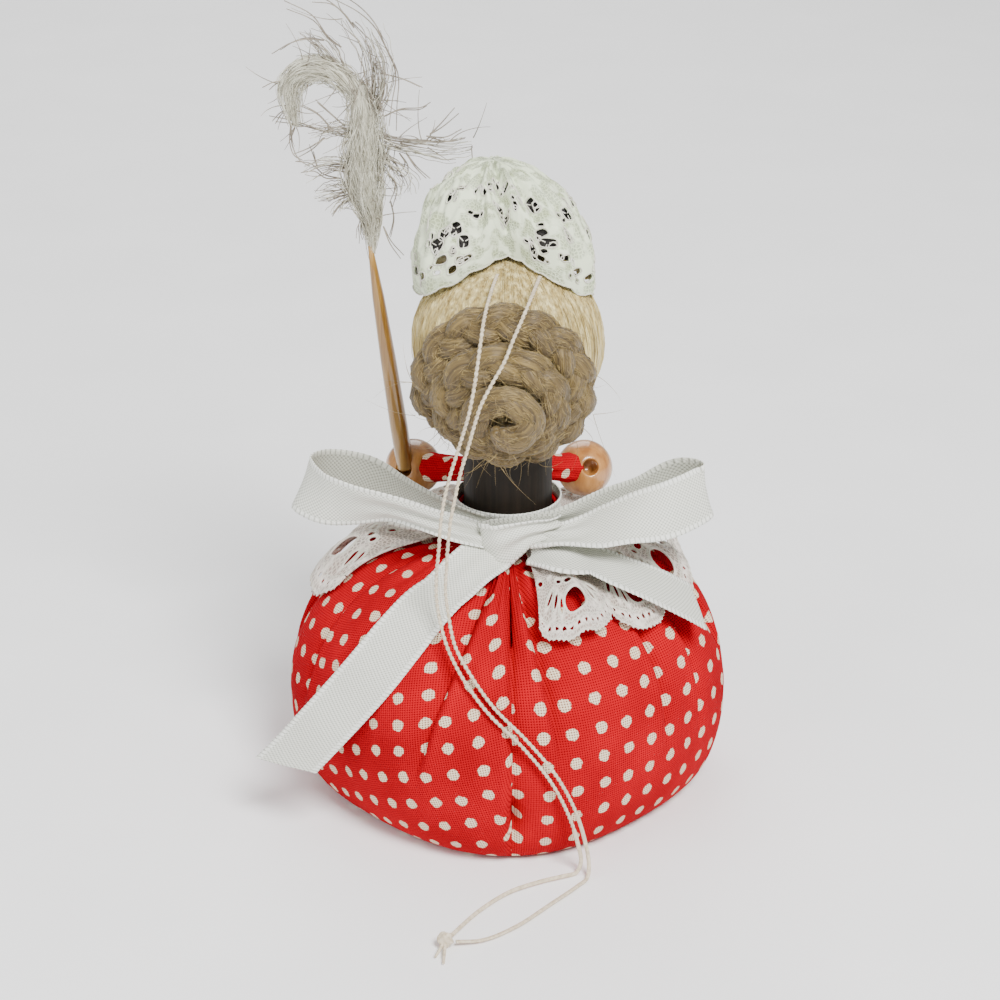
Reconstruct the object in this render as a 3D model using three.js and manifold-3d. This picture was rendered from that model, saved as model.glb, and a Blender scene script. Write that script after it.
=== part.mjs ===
// Hanging ornament: a housemaid doll with a stuffed cotton skirt, a turned wooden head and bead hands.
// Millimetres, +Z up. The doll stands on z = 0 with its post on the Z axis and faces -Y, so its left is +X.
import * as THREE from "three";
import { mergeVertices } from "three/addons/utils/BufferGeometryUtils.js";
import Module from "manifold-3d";

const wasm = await Module();
wasm.setup();

// Gap that two touching pieces keep, the run of a cutter past its piece, and the distance that joins vertices
const CLEARANCE = 0.3;
const OVERRUN = 1;
const WELD = 1e-4;

// Skirt: a cotton bag, drawn in round the post and filled
const SKIRT_RADIUS = 39.5;
const SKIRT_FOOT_RADIUS = 31;
const SKIRT_BELLY_HEIGHT = 18;
const SKIRT_SHOULDER_HEIGHT = 48;
const SKIRT_NECK_TUCK = 7;
const CLOTH = 0.7;
const PANEL_PUFF = 0.9;
const SEAM_TUCK_DEPTH = 3.2;
const SEAM_TUCK_HEIGHT = 9;
const CORNER_SWELL = 0.04;

// Folds, round from the seam at the back: bearing at the belly and drift towards the neck in degrees, depth,
// the height where each runs out, and the side that lies on top
const fold = (bearing, drift, depth, foot, lap) => ({ bearing, drift, depth, foot, lap });
const FOLDS = [
  fold(91, 0, 1.5, 1, -1), fold(104, -8, 1.7, 20, -1), fold(137, 1, 1.9, 17, -1), fold(153, 0, 1.4, 14, -1),
  fold(176, -2, 1.2, 22, 1), fold(198, 0, 1.3, 18, -1), fold(221, 2, 1.1, 22, 1), fold(244, 0, 1.4, 20, -1),
  fold(268, -2, 1.2, 16, 1), fold(290, 0, 1.3, 22, 1), fold(312, 1, 1.2, 20, -1), fold(334, 2, 1.4, 18, 1),
  fold(357, 3, 1.2, 22, -1), fold(380, 5, 1.3, 18, 1), fold(403, 10, 1.2, 24, 1), fold(426, 15, 1.8, 13, 1),
];
const FOLD_COLUMNS = [0, 0.15, 0.5, 0.85];

// Base disc and post inside the skirt
const BASE_RADIUS = 26;
const BASE_THICKNESS = 4;
const SOCKET_DEPTH = 2;
const POST_RADIUS = 8;
const POST_CHAMFER = 0.8;
const TENON_RADIUS = 4;
const TENON_LENGTH = 9;

// Head, hair and cap
const NECK_LENGTH = 15.2;
const HEAD_RADIUS = 15.4;
const HAIR_THICKNESS = 1;
const HAIRLINE_DEPTH = 4;
const PLAIT_RADIUS = 2.9;
const BUN_RADIUS = 14;
const BUN_EYE_RADIUS = 3;
const BUN_DROP = 3.1;
const BUN_EYE_DROP = 6.5;
const BUN_LIFT = 8;
const BUN_TURNS = 2.5;
const LACE = 0.7;
const CAP_HEIGHT = 32;
const CAP_CROWN_RADIUS = 9;
const CAP_CROWN_SET_FORWARD = 2.5;
const CAP_CROWN_SET_LEFT = 2.5;
const CAP_RIM_RADIUS = 15.4;
const CAP_GATHER_RADIUS = 6;
const CAP_PLEATS = 13;
const CAP_PLEAT_DEPTH = 0.4;

// Lace collar, open at the back where the bow is tied
const COLLAR_RUFFLES = 9;
const COLLAR_RUFFLE_HEIGHT = 2.4;
const COLLAR_GAP_FROM = THREE.MathUtils.degToRad(14);
const COLLAR_GAP_TO = THREE.MathUtils.degToRad(99);
const COLLAR_END_SLANT = THREE.MathUtils.degToRad(8);
const COLLAR_SHORT_BEARING = THREE.MathUtils.degToRad(122);
const COLLAR_SHORT_HALF_ANGLE = 0.7;
const COLLAR_PRESSED = [
  { bearing: THREE.MathUtils.degToRad(152), halfAngle: 0.42 },
  { bearing: THREE.MathUtils.degToRad(228), halfAngle: 0.3 },
  { bearing: THREE.MathUtils.degToRad(317), halfAngle: 0.4 },
];

// Satin ribbon, tied in a bow at the nape
const RIBBON_WIDTH = 10;
const RIBBON = 0.4;
const BAND_WIDTH = 6.5;
const KNOT_WIDTH = 7.6;
const KNOT_HEIGHT = 7;
const KNOT_DEPTH = 3.4;
const LOOP_LEFT_REACH = 36.6;
const LOOP_RIGHT_REACH = 35.3;

// Arms: a wire through the post, a sleeve and a bead on each side
const ARM_HEIGHT_OVER_BAND = 2.5;
const WIRE_RADIUS = 0.6;
const SLEEVE_ROOT_RADIUS = 2.2;
const SLEEVE_CUFF_RADIUS = 2.9;
const HAND_RADIUS = 5.3;
const HAND_BORE_RADIUS = 1.45;
const ARM_LEFT = { azimuth: -42.3, droop: 14.3, reach: 13.8 };
const ARM_RIGHT = { azimuth: -131.8, droop: 18.1, reach: 11.7 };
const RIGHT_BORE_AXIS = new THREE.Vector3(-0.2, 0.89, 0.4).normalize();

// Duster: a tapered stick with a tuft of teased-out yarn, seated in a notch of the left hand
const STICK_RADIUS = 1.6;
const STICK_TIP_RADIUS = 0.4;
const STICK_LENGTH = 44;
const STICK_POINT_LENGTH = 10;
const STICK_LEAN = new THREE.Vector3(0.131, -0.01, 0.99).normalize();
const STICK_SEAT = new THREE.Vector3(1.35, 3.6, 1.2);
const TUFT_LENGTH = 44;
const TUFT_RADIUS = 4.2;

// Hanging cord
const CORD_RADIUS = 0.45;
const CORD_SIDES = 8;
const CORD_KNOT_RADIUS = 1.4;

// Sizes that follow from those above
const TAU = 2 * Math.PI;
const BACK = Math.PI / 2;
const NECK_RADIUS = POST_RADIUS + CLEARANCE + CLOTH;
const BAND_INNER = NECK_RADIUS + CLEARANCE;
const BAND_OUTER = BAND_INNER + RIBBON;
const BAND_FOOT = SKIRT_SHOULDER_HEIGHT + 2 * CLEARANCE;
const BAND_TOP = BAND_FOOT + BAND_WIDTH;
const HAIR_RADIUS = HEAD_RADIUS + CLEARANCE + HAIR_THICKNESS;
const HEAD_HEIGHT = BAND_TOP + NECK_LENGTH + HEAD_RADIUS;
const COLLAR_RADIUS = 0.886 * SKIRT_RADIUS;
const BASE_FOOT = CLOTH + CLEARANCE;
const POST_FOOT = BASE_FOOT + BASE_THICKNESS - SOCKET_DEPTH + CLEARANCE;
const POST_TOP = HEAD_HEIGHT - Math.sqrt(HEAD_RADIUS ** 2 - POST_RADIUS ** 2) - 2 * CLEARANCE;
const ARM_HEIGHT = BAND_TOP + ARM_HEIGHT_OVER_BAND;
const PIVOT_RADIUS = POST_RADIUS + CLEARANCE + SLEEVE_ROOT_RADIUS;

const finishes = {
  cotton: new THREE.MeshStandardMaterial({ color: "#c8202c", roughness: 0.9 }),
  fibre: new THREE.MeshStandardMaterial({ color: "#efece4", roughness: 1 }),
  board: new THREE.MeshStandardMaterial({ color: "#b08a5c", roughness: 0.8 }),
  blackened: new THREE.MeshStandardMaterial({ color: "#2c2622", roughness: 0.8 }),
  birch: new THREE.MeshStandardMaterial({ color: "#c79a63", roughness: 0.35 }),
  flax: new THREE.MeshStandardMaterial({ color: "#a8946a", roughness: 0.75 }),
  felt: new THREE.MeshStandardMaterial({ color: "#221e1c", roughness: 1 }),
  lace: new THREE.MeshStandardMaterial({ color: "#e8e8de", roughness: 0.9 }),
  satin: new THREE.MeshStandardMaterial({ color: "#e9e9e6", roughness: 0.4 }),
  steel: new THREE.MeshStandardMaterial({ color: "#8d8f92", roughness: 0.4, metalness: 1 }),
  yarn: new THREE.MeshStandardMaterial({ color: "#bdb9a8", roughness: 1 }),
  thread: new THREE.MeshStandardMaterial({ color: "#e6ddce", roughness: 0.9 }),
};

// A geometry with only its positions, shared vertices merged
function weld(geometry) {
  const bare = new THREE.BufferGeometry().setAttribute("position", geometry.getAttribute("position").clone());
  if (geometry.index) bare.setIndex(geometry.index.clone());
  return mergeVertices(bare, WELD);
}

// A closed geometry as a solid for joining and cutting, its faces turned outwards
function solid(geometry) {
  const welded = weld(geometry);
  const triVerts = new Uint32Array(welded.index.array);
  const vertProperties = welded.getAttribute("position").array;
  const made = new wasm.Manifold(new wasm.Mesh({ numProp: 3, vertProperties, triVerts }));
  if (made.volume() > 0) return made;
  return new wasm.Manifold(new wasm.Mesh({ numProp: 3, vertProperties, triVerts: triVerts.reverse() }));
}

function geometryOf(made) {
  const { vertProperties, triVerts } = made.getMesh();
  const geometry = new THREE.BufferGeometry();
  geometry.setAttribute("position", new THREE.BufferAttribute(new Float32Array(vertProperties), 3));
  geometry.setIndex(new THREE.BufferAttribute(new Uint32Array(triVerts), 1));
  geometry.computeVertexNormals();
  return geometry;
}

function piece(name, shape, finish) {
  const mesh = new THREE.Mesh(geometryOf(shape.isBufferGeometry ? solid(shape) : shape), finish);
  mesh.name = name;
  return mesh;
}

// A profile of (radius, height) points turned about the Z axis
function turned(points, segments) {
  return new THREE.LatheGeometry(points, segments).rotateX(Math.PI / 2);
}

const at = (radius, height) => new THREE.Vector2(radius, height);
function polar(radius, angle, height) {
  return new THREE.Vector3(radius * Math.cos(angle), radius * Math.sin(angle), height);
}

// A straight round bar between two points
function bar(from, to, radius, sides) {
  const along = new THREE.Vector3().subVectors(to, from);
  const upright = new THREE.Vector3(0, 1, 0);
  const turn = new THREE.Quaternion().setFromUnitVectors(upright, along.clone().normalize());
  const middle = new THREE.Vector3().addVectors(from, to).multiplyScalar(0.5);
  const geometry = new THREE.CylinderGeometry(radius, radius, along.length(), sides);
  return geometry.applyQuaternion(turn).translate(middle.x, middle.y, middle.z);
}

// A closed body through rings of equal count, with a fan over each end
function loft(rings) {
  const sides = rings[0].length;
  const points = rings.flat();
  const faces = [];
  for (let i = 0; i < rings.length - 1; i++) {
    for (let j = 0; j < sides; j++) {
      const a = i * sides + j;
      const b = i * sides + ((j + 1) % sides);
      faces.push(a, b, b + sides, a, b + sides, a + sides);
    }
  }
  [0, rings.length - 1].forEach((end, far) => {
    const centre = rings[end].reduce((sum, p) => sum.add(p), new THREE.Vector3()).divideScalar(sides);
    const hub = points.push(centre) - 1;
    for (let j = 0; j < sides; j++) {
      const rim = [end * sides + j, end * sides + ((j + 1) % sides)];
      faces.push(hub, ...(far ? rim : rim.reverse()));
    }
  });
  return new THREE.BufferGeometry().setFromPoints(points).setIndex(faces);
}

// A round body along a curve, its radius given along the way
function taperedTube(curve, steps, sides, radiusAt) {
  const frames = curve.computeFrenetFrames(steps);
  const rings = [];
  for (let i = 0; i <= steps; i++) {
    const centre = curve.getPointAt(i / steps);
    const radius = radiusAt(i / steps);
    rings.push(
      Array.from({ length: sides }, (_, j) =>
        centre
          .clone()
          .addScaledVector(frames.normals[i], radius * Math.cos((j / sides) * TAU))
          .addScaledVector(frames.binormals[i], radius * Math.sin((j / sides) * TAU)),
      ),
    );
  }
  return loft(rings);
}

// A thin sheet as a closed body: an outer and an inner grid of points, sewn together along the edges
function sheet(columns, rows, outer, inner, wraps) {
  const stride = columns + (wraps ? 0 : 1);
  const points = [];
  for (const surface of [outer, inner]) {
    for (let row = 0; row <= rows; row++) {
      for (let column = 0; column < stride; column++) points.push(surface(column / columns, row / rows));
    }
  }
  const layer = stride * (rows + 1);
  const index = (side, column, row) => side * layer + row * stride + (column % stride);
  const faces = [];
  const quad = (a, b, c, d) => faces.push(a, b, c, a, c, d);
  for (let column = 0; column < columns; column++) {
    for (let row = 0; row < rows; row++) {
      const corner = (side, i, j) => index(side, column + i, row + j);
      quad(corner(0, 0, 0), corner(0, 1, 0), corner(0, 1, 1), corner(0, 0, 1));
      quad(corner(1, 0, 0), corner(1, 0, 1), corner(1, 1, 1), corner(1, 1, 0));
    }
    const edge = (side, i, row) => index(side, column + i, row);
    quad(edge(0, 0, 0), edge(1, 0, 0), edge(1, 1, 0), edge(0, 1, 0));
    quad(edge(0, 0, rows), edge(0, 1, rows), edge(1, 1, rows), edge(1, 0, rows));
  }
  for (let row = 0; !wraps && row < rows; row++) {
    const end = (side, column, j) => index(side, column, row + j);
    quad(end(0, 0, 0), end(0, 0, 1), end(1, 0, 1), end(1, 0, 0));
    quad(end(0, columns, 0), end(1, columns, 0), end(1, columns, 1), end(0, columns, 1));
  }
  return new THREE.BufferGeometry().setFromPoints(points).setIndex(faces);
}

// Skirt profile, from the middle of the foot to the neck, set in by a margin
function skirtProfile(margin, lowerSteps, upperSteps) {
  const foot = at(SKIRT_FOOT_RADIUS - margin, margin);
  const belly = at(SKIRT_RADIUS - margin, SKIRT_BELLY_HEIGHT);
  const neck = at(NECK_RADIUS - margin, SKIRT_SHOULDER_HEIGHT - margin);
  const swell = SKIRT_RADIUS - SKIRT_FOOT_RADIUS;
  const rise = SKIRT_SHOULDER_HEIGHT - SKIRT_BELLY_HEIGHT;
  const under = new THREE.CubicBezierCurve(
    foot,
    at(foot.x + 0.62 * swell, margin),
    at(belly.x, margin + 0.42 * (belly.y - margin)),
    belly,
  );
  const over = new THREE.CubicBezierCurve(
    belly,
    at(belly.x, belly.y + 0.62 * rise),
    at(neck.x + 0.52 * (belly.x - neck.x), neck.y),
    neck,
  );
  return [...under.getPoints(lowerSteps), ...over.getPoints(upperSteps).slice(1)];
}

// Height and outward direction of the skirt's upper side, by the share of the way from belly to neck
const SHOULDER_STEPS = 40;
const shoulder = skirtProfile(0, 1, SHOULDER_STEPS).slice(1);
function shoulderAt(share) {
  const place = THREE.MathUtils.clamp(share, 0, 1) * SHOULDER_STEPS;
  const low = Math.min(Math.floor(place), SHOULDER_STEPS - 1);
  const along = new THREE.Vector2().subVectors(shoulder[low + 1], shoulder[low]);
  const point = shoulder[low].clone().addScaledVector(along, place - low);
  return { point, out: at(along.y, -along.x).normalize() };
}
function shoulderHeight(radius) {
  const high = shoulder.findIndex((p) => p.x <= radius);
  if (high <= 0) return radius > SKIRT_RADIUS ? SKIRT_BELLY_HEIGHT : SKIRT_SHOULDER_HEIGHT;
  const [a, b] = [shoulder[high - 1], shoulder[high]];
  return a.y + ((b.y - a.y) * (a.x - radius)) / (a.x - b.x);
}

// Columns round the skirt: one in each fold and three on the panel that follows it
const skirtColumns = FOLDS.flatMap((one, i) => {
  const next = FOLDS[(i + 1) % FOLDS.length];
  const span = (next.bearing - one.bearing + 360) % 360;
  return FOLD_COLUMNS.map((share) => ({
    share,
    bearing: THREE.MathUtils.degToRad(one.bearing + share * span),
    drift: THREE.MathUtils.degToRad(THREE.MathUtils.lerp(one.drift, next.drift, share)),
    sides: [
      { ...one, away: THREE.MathUtils.degToRad(share * span), onTop: one.lap > 0 },
      { ...next, away: THREE.MathUtils.degToRad((1 - share) * span), onTop: next.lap < 0 },
    ],
  }));
});

// How far the cloth stands out from the plain bag, at a column and a height
function foldOut({ share, sides }, radius, height) {
  const { smoothstep } = THREE.MathUtils;
  const bulged = smoothstep(height, 0.42 * SKIRT_SHOULDER_HEIGHT, 0.75 * SKIRT_SHOULDER_HEIGHT);
  const tied = smoothstep(height, 0.92 * SKIRT_SHOULDER_HEIGHT, SKIRT_SHOULDER_HEIGHT);
  let out = PANEL_PUFF * bulged * (1 - tied) * Math.sin(Math.PI * share) ** 0.8;
  for (const { bearing, depth, foot, away, onTop } of sides) {
    const off = away * Math.max(radius, 1.2 * NECK_RADIUS);
    const deep = depth * smoothstep(height, foot, foot + 12) * (1 - 0.6 * tied);
    const tuck = bearing === FOLDS[0].bearing ? Math.exp(-(((height - SEAM_TUCK_HEIGHT) / 5) ** 2)) : 0;
    out -= (deep + SEAM_TUCK_DEPTH * tuck) * Math.exp(-off / (onTop ? 0.5 : 2.4));
    if (onTop) out += 0.4 * deep * Math.exp(-(((off - 1.4) / 1.1) ** 2));
  }
  return out * smoothstep(height, 0, 2.5);
}

// Turns a profile into a body with the skirt's folds and its slightly squared foot
function gathered(profile) {
  const geometry = turned(profile, skirtColumns.length);
  const position = geometry.getAttribute("position");
  for (let i = 0; i < position.count; i++) {
    const column = skirtColumns[Math.floor(i / profile.length) % skirtColumns.length];
    let { x: radius, y: height } = profile[i % profile.length];
    const overBelly = height - SKIRT_BELLY_HEIGHT;
    const upper = SKIRT_SHOULDER_HEIGHT - SKIRT_BELLY_HEIGHT;
    const angle = column.bearing + column.drift * THREE.MathUtils.clamp(overBelly / (0.8 * upper), 0, 1);
    const raised = THREE.MathUtils.clamp(height / SKIRT_SHOULDER_HEIGHT, 0, 1);
    const depth = overBelly > 0 ? upper : SKIRT_BELLY_HEIGHT;
    const way = at(radius / SKIRT_RADIUS ** 2, overBelly / depth ** 2).normalize();
    const out = radius > POST_RADIUS && raised < 1 ? foldOut(column, radius, height) : 0;
    radius += way.x * out + CORNER_SWELL * radius * (1 - raised) * Math.cos(4 * (angle - BACK));
    height += way.y * out;
    position.setXYZ(i, radius * Math.cos(angle), radius * Math.sin(angle), height);
  }
  return geometry;
}

const doll = new THREE.Group();

// Skirt bag: one wall, open at the neck
function skirt() {
  const outer = skirtProfile(0, 5, 8);
  const inner = skirtProfile(CLOTH, 3, 5).reverse();
  const hem = SKIRT_SHOULDER_HEIGHT + SKIRT_NECK_TUCK;
  const lip = [at(NECK_RADIUS, hem), at(NECK_RADIUS - CLOTH, hem)];
  const profile = [at(0, 0), ...outer, ...lip, ...inner, at(0, CLOTH)];
  return piece("skirt_bag", gathered(profile), finishes.cotton);
}

const discFoot = new THREE.Vector3(0, 0, BASE_FOOT);
const discTop = new THREE.Vector3(0, 0, BASE_FOOT + BASE_THICKNESS);
const high = (height) => new THREE.Vector3(0, 0, height);

// Fibre filling: fills the bag round the disc and the post
function filling() {
  const margin = CLOTH + 5 * CLEARANCE;
  const profile = skirtProfile(margin, 3, 5);
  const top = profile.at(-1).y;
  const fibre = solid(gathered([at(0, margin), ...profile, at(0, top)]));
  const disc = solid(bar(high(-OVERRUN), high(discTop.z + CLEARANCE), BASE_RADIUS + CLEARANCE, 48));
  const post = solid(bar(high(-OVERRUN), high(top + OVERRUN), POST_RADIUS + CLEARANCE, 32));
  return piece("fibre_filling", fibre.subtract(disc.add(post)), finishes.fibre);
}

// Base disc with a blind socket for the post
function baseDisc() {
  const socket = bar(high(discTop.z - SOCKET_DEPTH), high(discTop.z + OVERRUN), POST_RADIUS + CLEARANCE, 32);
  const disc = solid(bar(discFoot, discTop, BASE_RADIUS, 48));
  return piece("base_disc", disc.subtract(solid(socket)), finishes.board);
}

// Where an arm turns, where its hand is and which way it points
function armFrame({ azimuth, droop, reach }) {
  const heading = THREE.MathUtils.degToRad(azimuth);
  const dip = THREE.MathUtils.degToRad(droop);
  const pivot = polar(PIVOT_RADIUS, heading, ARM_HEIGHT);
  const along = polar(Math.cos(dip), heading, -Math.sin(dip));
  return { heading, dip, reach, along, pivot, hand: pivot.clone().addScaledVector(along, reach) };
}
const armLeft = armFrame(ARM_LEFT);
const armRight = armFrame(ARM_RIGHT);

// Post: turned round, with a tenon for the head and holes for the arm wire
function shoulderLeg(arm, radius, reach) {
  return solid(bar(high(ARM_HEIGHT), polar(reach, arm.heading, ARM_HEIGHT), radius, 10));
}
function neckPost() {
  const profile = [
    at(0, POST_FOOT),
    at(POST_RADIUS, POST_FOOT),
    at(POST_RADIUS, POST_TOP - POST_CHAMFER),
    at(POST_RADIUS - POST_CHAMFER, POST_TOP),
    at(TENON_RADIUS, POST_TOP),
    at(TENON_RADIUS, POST_TOP + TENON_LENGTH),
    at(0, POST_TOP + TENON_LENGTH),
  ];
  const hub = solid(new THREE.SphereGeometry(WIRE_RADIUS + CLEARANCE, 12, 8).translate(0, 0, ARM_HEIGHT));
  const hole = (arm) => shoulderLeg(arm, WIRE_RADIUS + CLEARANCE, POST_RADIUS + OVERRUN);
  const holes = hub.add(hole(armLeft)).add(hole(armRight));
  return piece("neck_post", solid(turned(profile, 32)).subtract(holes), finishes.blackened);
}
function shoulderWire() {
  const bend = solid(new THREE.SphereGeometry(WIRE_RADIUS, 12, 8).translate(0, 0, ARM_HEIGHT));
  const leg = (arm) => shoulderLeg(arm, WIRE_RADIUS, POST_RADIUS);
  return piece("shoulder_wire", bend.add(leg(armLeft)).add(leg(armRight)), finishes.steel);
}
doll.add(skirt(), filling(), baseDisc(), neckPost(), shoulderWire());

// Head group: its origin is the middle of the ball
const head = new THREE.Group();
head.position.set(0, 0, HEAD_HEIGHT);
doll.add(head);

const tenonTop = POST_TOP + TENON_LENGTH - HEAD_HEIGHT;
const postTop = POST_TOP - HEAD_HEIGHT;

// Turned ball with a flat seat and a bore for the post
function headBall() {
  const seat = bar(high(-2 * HEAD_RADIUS), high(postTop + CLEARANCE), POST_RADIUS + CLEARANCE, 32);
  const bore = bar(high(-2 * HEAD_RADIUS), high(tenonTop + CLEARANCE), TENON_RADIUS + CLEARANCE, 24);
  const ball = solid(new THREE.SphereGeometry(HEAD_RADIUS, 28, 16).rotateX(Math.PI / 2));
  return piece("head_ball", ball.subtract(solid(seat)).subtract(solid(bore)), finishes.birch);
}

// Flax laid down the back of the ball, from ear to ear and open at the face and the nape
function hairLayer() {
  const reach = 4 * HEAD_RADIUS;
  const outer = solid(new THREE.SphereGeometry(HAIR_RADIUS, 28, 16).rotateX(Math.PI / 2));
  const inner = solid(new THREE.SphereGeometry(HEAD_RADIUS + CLEARANCE, 28, 16).rotateX(Math.PI / 2));
  const face = solid(new THREE.BoxGeometry(reach, reach, reach).translate(0, -reach / 2 - HAIRLINE_DEPTH, 0));
  const nape = solid(bar(high(-reach), high(0), POST_RADIUS + 2 * CLEARANCE, 32));
  return piece("hair_layer", outer.subtract(inner).subtract(face).subtract(nape), finishes.flax);
}

// Plait wound into a bun: the first turn lies on the hair, the next ones close in, lower and further out
class BunCurve extends THREE.Curve {
  getPoint(t, target = new THREE.Vector3()) {
    const angle = t * BUN_TURNS * TAU + BACK;
    const inward = t ** 1.2;
    const radius = THREE.MathUtils.lerp(BUN_RADIUS, BUN_EYE_RADIUS, inward);
    const drop = THREE.MathUtils.lerp(BUN_DROP, BUN_EYE_DROP, Math.min(1, 1.3 * inward));
    const x = radius * Math.cos(angle);
    const z = radius * Math.sin(angle) * (1 - 0.1 * inward) - drop;
    const seat = HAIR_RADIUS + PLAIT_RADIUS + CLEARANCE;
    const beside = POST_RADIUS + PLAIT_RADIUS;
    const overPost = Math.abs(x) < beside ? beside + 2 * CLEARANCE : 0;
    const onHair = Math.sqrt(Math.max(seat ** 2 - x ** 2 - z ** 2, 0));
    return target.set(x, Math.max(onHair, overPost) + BUN_LIFT * t ** 1.3, z);
  }
}
function leastGap(curve, count, radius) {
  const points = curve.getSpacedPoints(count);
  const apart = Math.ceil((Math.PI * radius * count) / curve.getLength());
  const distances = points.flatMap((p, i) => points.slice(i + apart).map((q) => p.distanceTo(q)));
  return distances.reduce((least, distance) => Math.min(least, distance)) - 2 * radius;
}
function hairBun() {
  const curve = new BunCurve();
  console.log("hair_bun: least gap between turns", leastGap(curve, 240, PLAIT_RADIUS).toFixed(2), "mm");
  const steps = Math.round(BUN_TURNS * 24);
  const end = PLAIT_RADIUS / curve.getLength();
  const rounding = (t) => Math.sqrt(Math.max(1 - Math.max(1 - t / end, 1 - (1 - t) / end, 0) ** 2, 0.2));
  return piece("hair_bun", taperedTube(curve, steps, 8, (t) => PLAIT_RADIUS * rounding(t)), finishes.flax);
}

// Lace cap: a puffed crown over the top of the head, its edge drawn up to one gather at the back
const capSeat = HAIR_RADIUS + CLEARANCE + LACE;
function capPoint(around, up, inset) {
  const angle = around * TAU;
  const atBack = Math.max(Math.cos(angle - BACK), 0) ** 3;
  const radius = THREE.MathUtils.lerp(CAP_RIM_RADIUS, CAP_GATHER_RADIUS, atBack);
  const rim = polar(radius, angle, Math.sqrt(Math.max(capSeat ** 2 - radius ** 2, 0)) + CLEARANCE);
  const crown = new THREE.Vector3(CAP_CROWN_SET_LEFT, -CAP_CROWN_SET_FORWARD, CAP_HEIGHT);
  const span = CAP_HEIGHT - rim.z;
  const swell = polar(radius + 0.12 * span, angle, rim.z + 0.55 * span);
  const brow = polar(CAP_CROWN_RADIUS, angle, 0).add(crown);
  const point = new THREE.CubicBezierCurve3(rim, swell, brow, crown).getPoint(up);
  const pleat = CAP_PLEAT_DEPTH * (1 - up) * (1 - atBack) * (1 + Math.cos(CAP_PLEATS * angle));
  const centre = new THREE.Vector3(0, 0, 0.25 * CAP_HEIGHT);
  const out = new THREE.Vector3().subVectors(point, centre).normalize();
  return point.addScaledVector(out, pleat - inset);
}
function laceCap() {
  const outer = (u, v) => capPoint(u, v, 0);
  const inner = (u, v) => capPoint(u, v, LACE);
  return piece("lace_cap", sheet(52, 6, outer, inner, true), finishes.lace);
}

// Crown pad: a dark wad on top of the head that keeps the cap puffed
function crownPad() {
  const heights = [0.2, 0.35, 0.5, 0.65, 0.8, 0.92];
  const columns = 2 * CAP_PLEATS;
  const inset = LACE + 3 * CLEARANCE;
  const ring = (up) => Array.from({ length: columns }, (_, i) => capPoint(i / columns, up, inset));
  const scalp = new THREE.SphereGeometry(HAIR_RADIUS + CLEARANCE, 28, 16).rotateX(Math.PI / 2);
  return piece("crown_pad", solid(loft(heights.map(ring))).subtract(solid(scalp)), finishes.felt);
}
head.add(headBall(), hairLayer(), hairBun(), crownPad(), laceCap());

// Lace collar: a ruffled strip on the skirt's shoulder, flat under the right tail and both hands
function collarPoint(around, outward, lift) {
  const start = COLLAR_GAP_TO + COLLAR_END_SLANT * (1 - outward);
  const angle = THREE.MathUtils.lerp(start, TAU + COLLAR_GAP_FROM, around);
  const short = Math.exp(-(((angle - COLLAR_SHORT_BEARING) / COLLAR_SHORT_HALF_ANGLE) ** 2));
  const radius = THREE.MathUtils.lerp(BAND_OUTER + CLEARANCE, COLLAR_RADIUS * (1 - 0.12 * short), outward);
  const near = ({ bearing, halfAngle }) => Math.exp(-(((angle - bearing) / halfAngle) ** 2));
  const pressed = Math.max(...COLLAR_PRESSED.map(near));
  const height = COLLAR_RUFFLE_HEIGHT * (1 - 0.85 * pressed) * outward ** 1.3;
  const wave = height * (1 - Math.cos(COLLAR_RUFFLES * TAU * around));
  const overFolds = 1.8 * PANEL_PUFF * THREE.MathUtils.smoothstep(outward, 0.2, 0.8);
  return polar(radius, angle, shoulderHeight(radius) + 2 * CLEARANCE + overFolds + wave + lift);
}
function laceCollar() {
  const top = (u, v) => collarPoint(u, v, LACE);
  const under = (u, v) => collarPoint(u, v, 0);
  return piece("lace_collar", sheet(63, 4, top, under, false), finishes.lace);
}
doll.add(laceCollar());

// Bow group: its origin is where the knot sits on the neck band
const bow = new THREE.Group();
bow.position.set(0, BAND_OUTER, (BAND_FOOT + BAND_TOP) / 2);
doll.add(bow);

function neckBand() {
  const profile = [
    at(BAND_INNER, BAND_FOOT),
    at(BAND_OUTER, BAND_FOOT),
    at(BAND_OUTER, BAND_TOP),
    at(BAND_INNER, BAND_TOP),
    at(BAND_INNER, BAND_FOOT),
  ];
  return piece("ribbon_neck_band", turned(profile, 40), finishes.satin);
}

// A ribbon as a thin loft: its middle line, the direction of its width and its face at each station
function ribbon(stations) {
  return loft(
    stations.map(({ middle, across, face }) => {
      const side = across.clone().multiplyScalar(RIBBON_WIDTH / 2);
      const skin = face.clone().multiplyScalar(RIBBON / 2);
      return [
        middle.clone().sub(side).sub(skin),
        middle.clone().add(side).sub(skin),
        middle.clone().add(side).add(skin),
        middle.clone().sub(side).add(skin),
      ];
    }),
  );
}

// Knot: a pinched wrap of ribbon
function ribbonKnot() {
  const outline = new THREE.Shape().absellipse(0, 0, KNOT_WIDTH / 2, KNOT_HEIGHT / 2, 0, TAU);
  const round = KNOT_DEPTH / 3;
  const wrap = new THREE.ExtrudeGeometry(outline, {
    depth: KNOT_DEPTH - 2 * round,
    curveSegments: 6,
    bevelThickness: round,
    bevelSize: round,
    bevelOffset: -round,
    bevelSegments: 2,
  });
  return piece("ribbon_knot", wrap.rotateX(-Math.PI / 2).translate(0, CLEARANCE + round, 0), finishes.satin);
}

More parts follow.
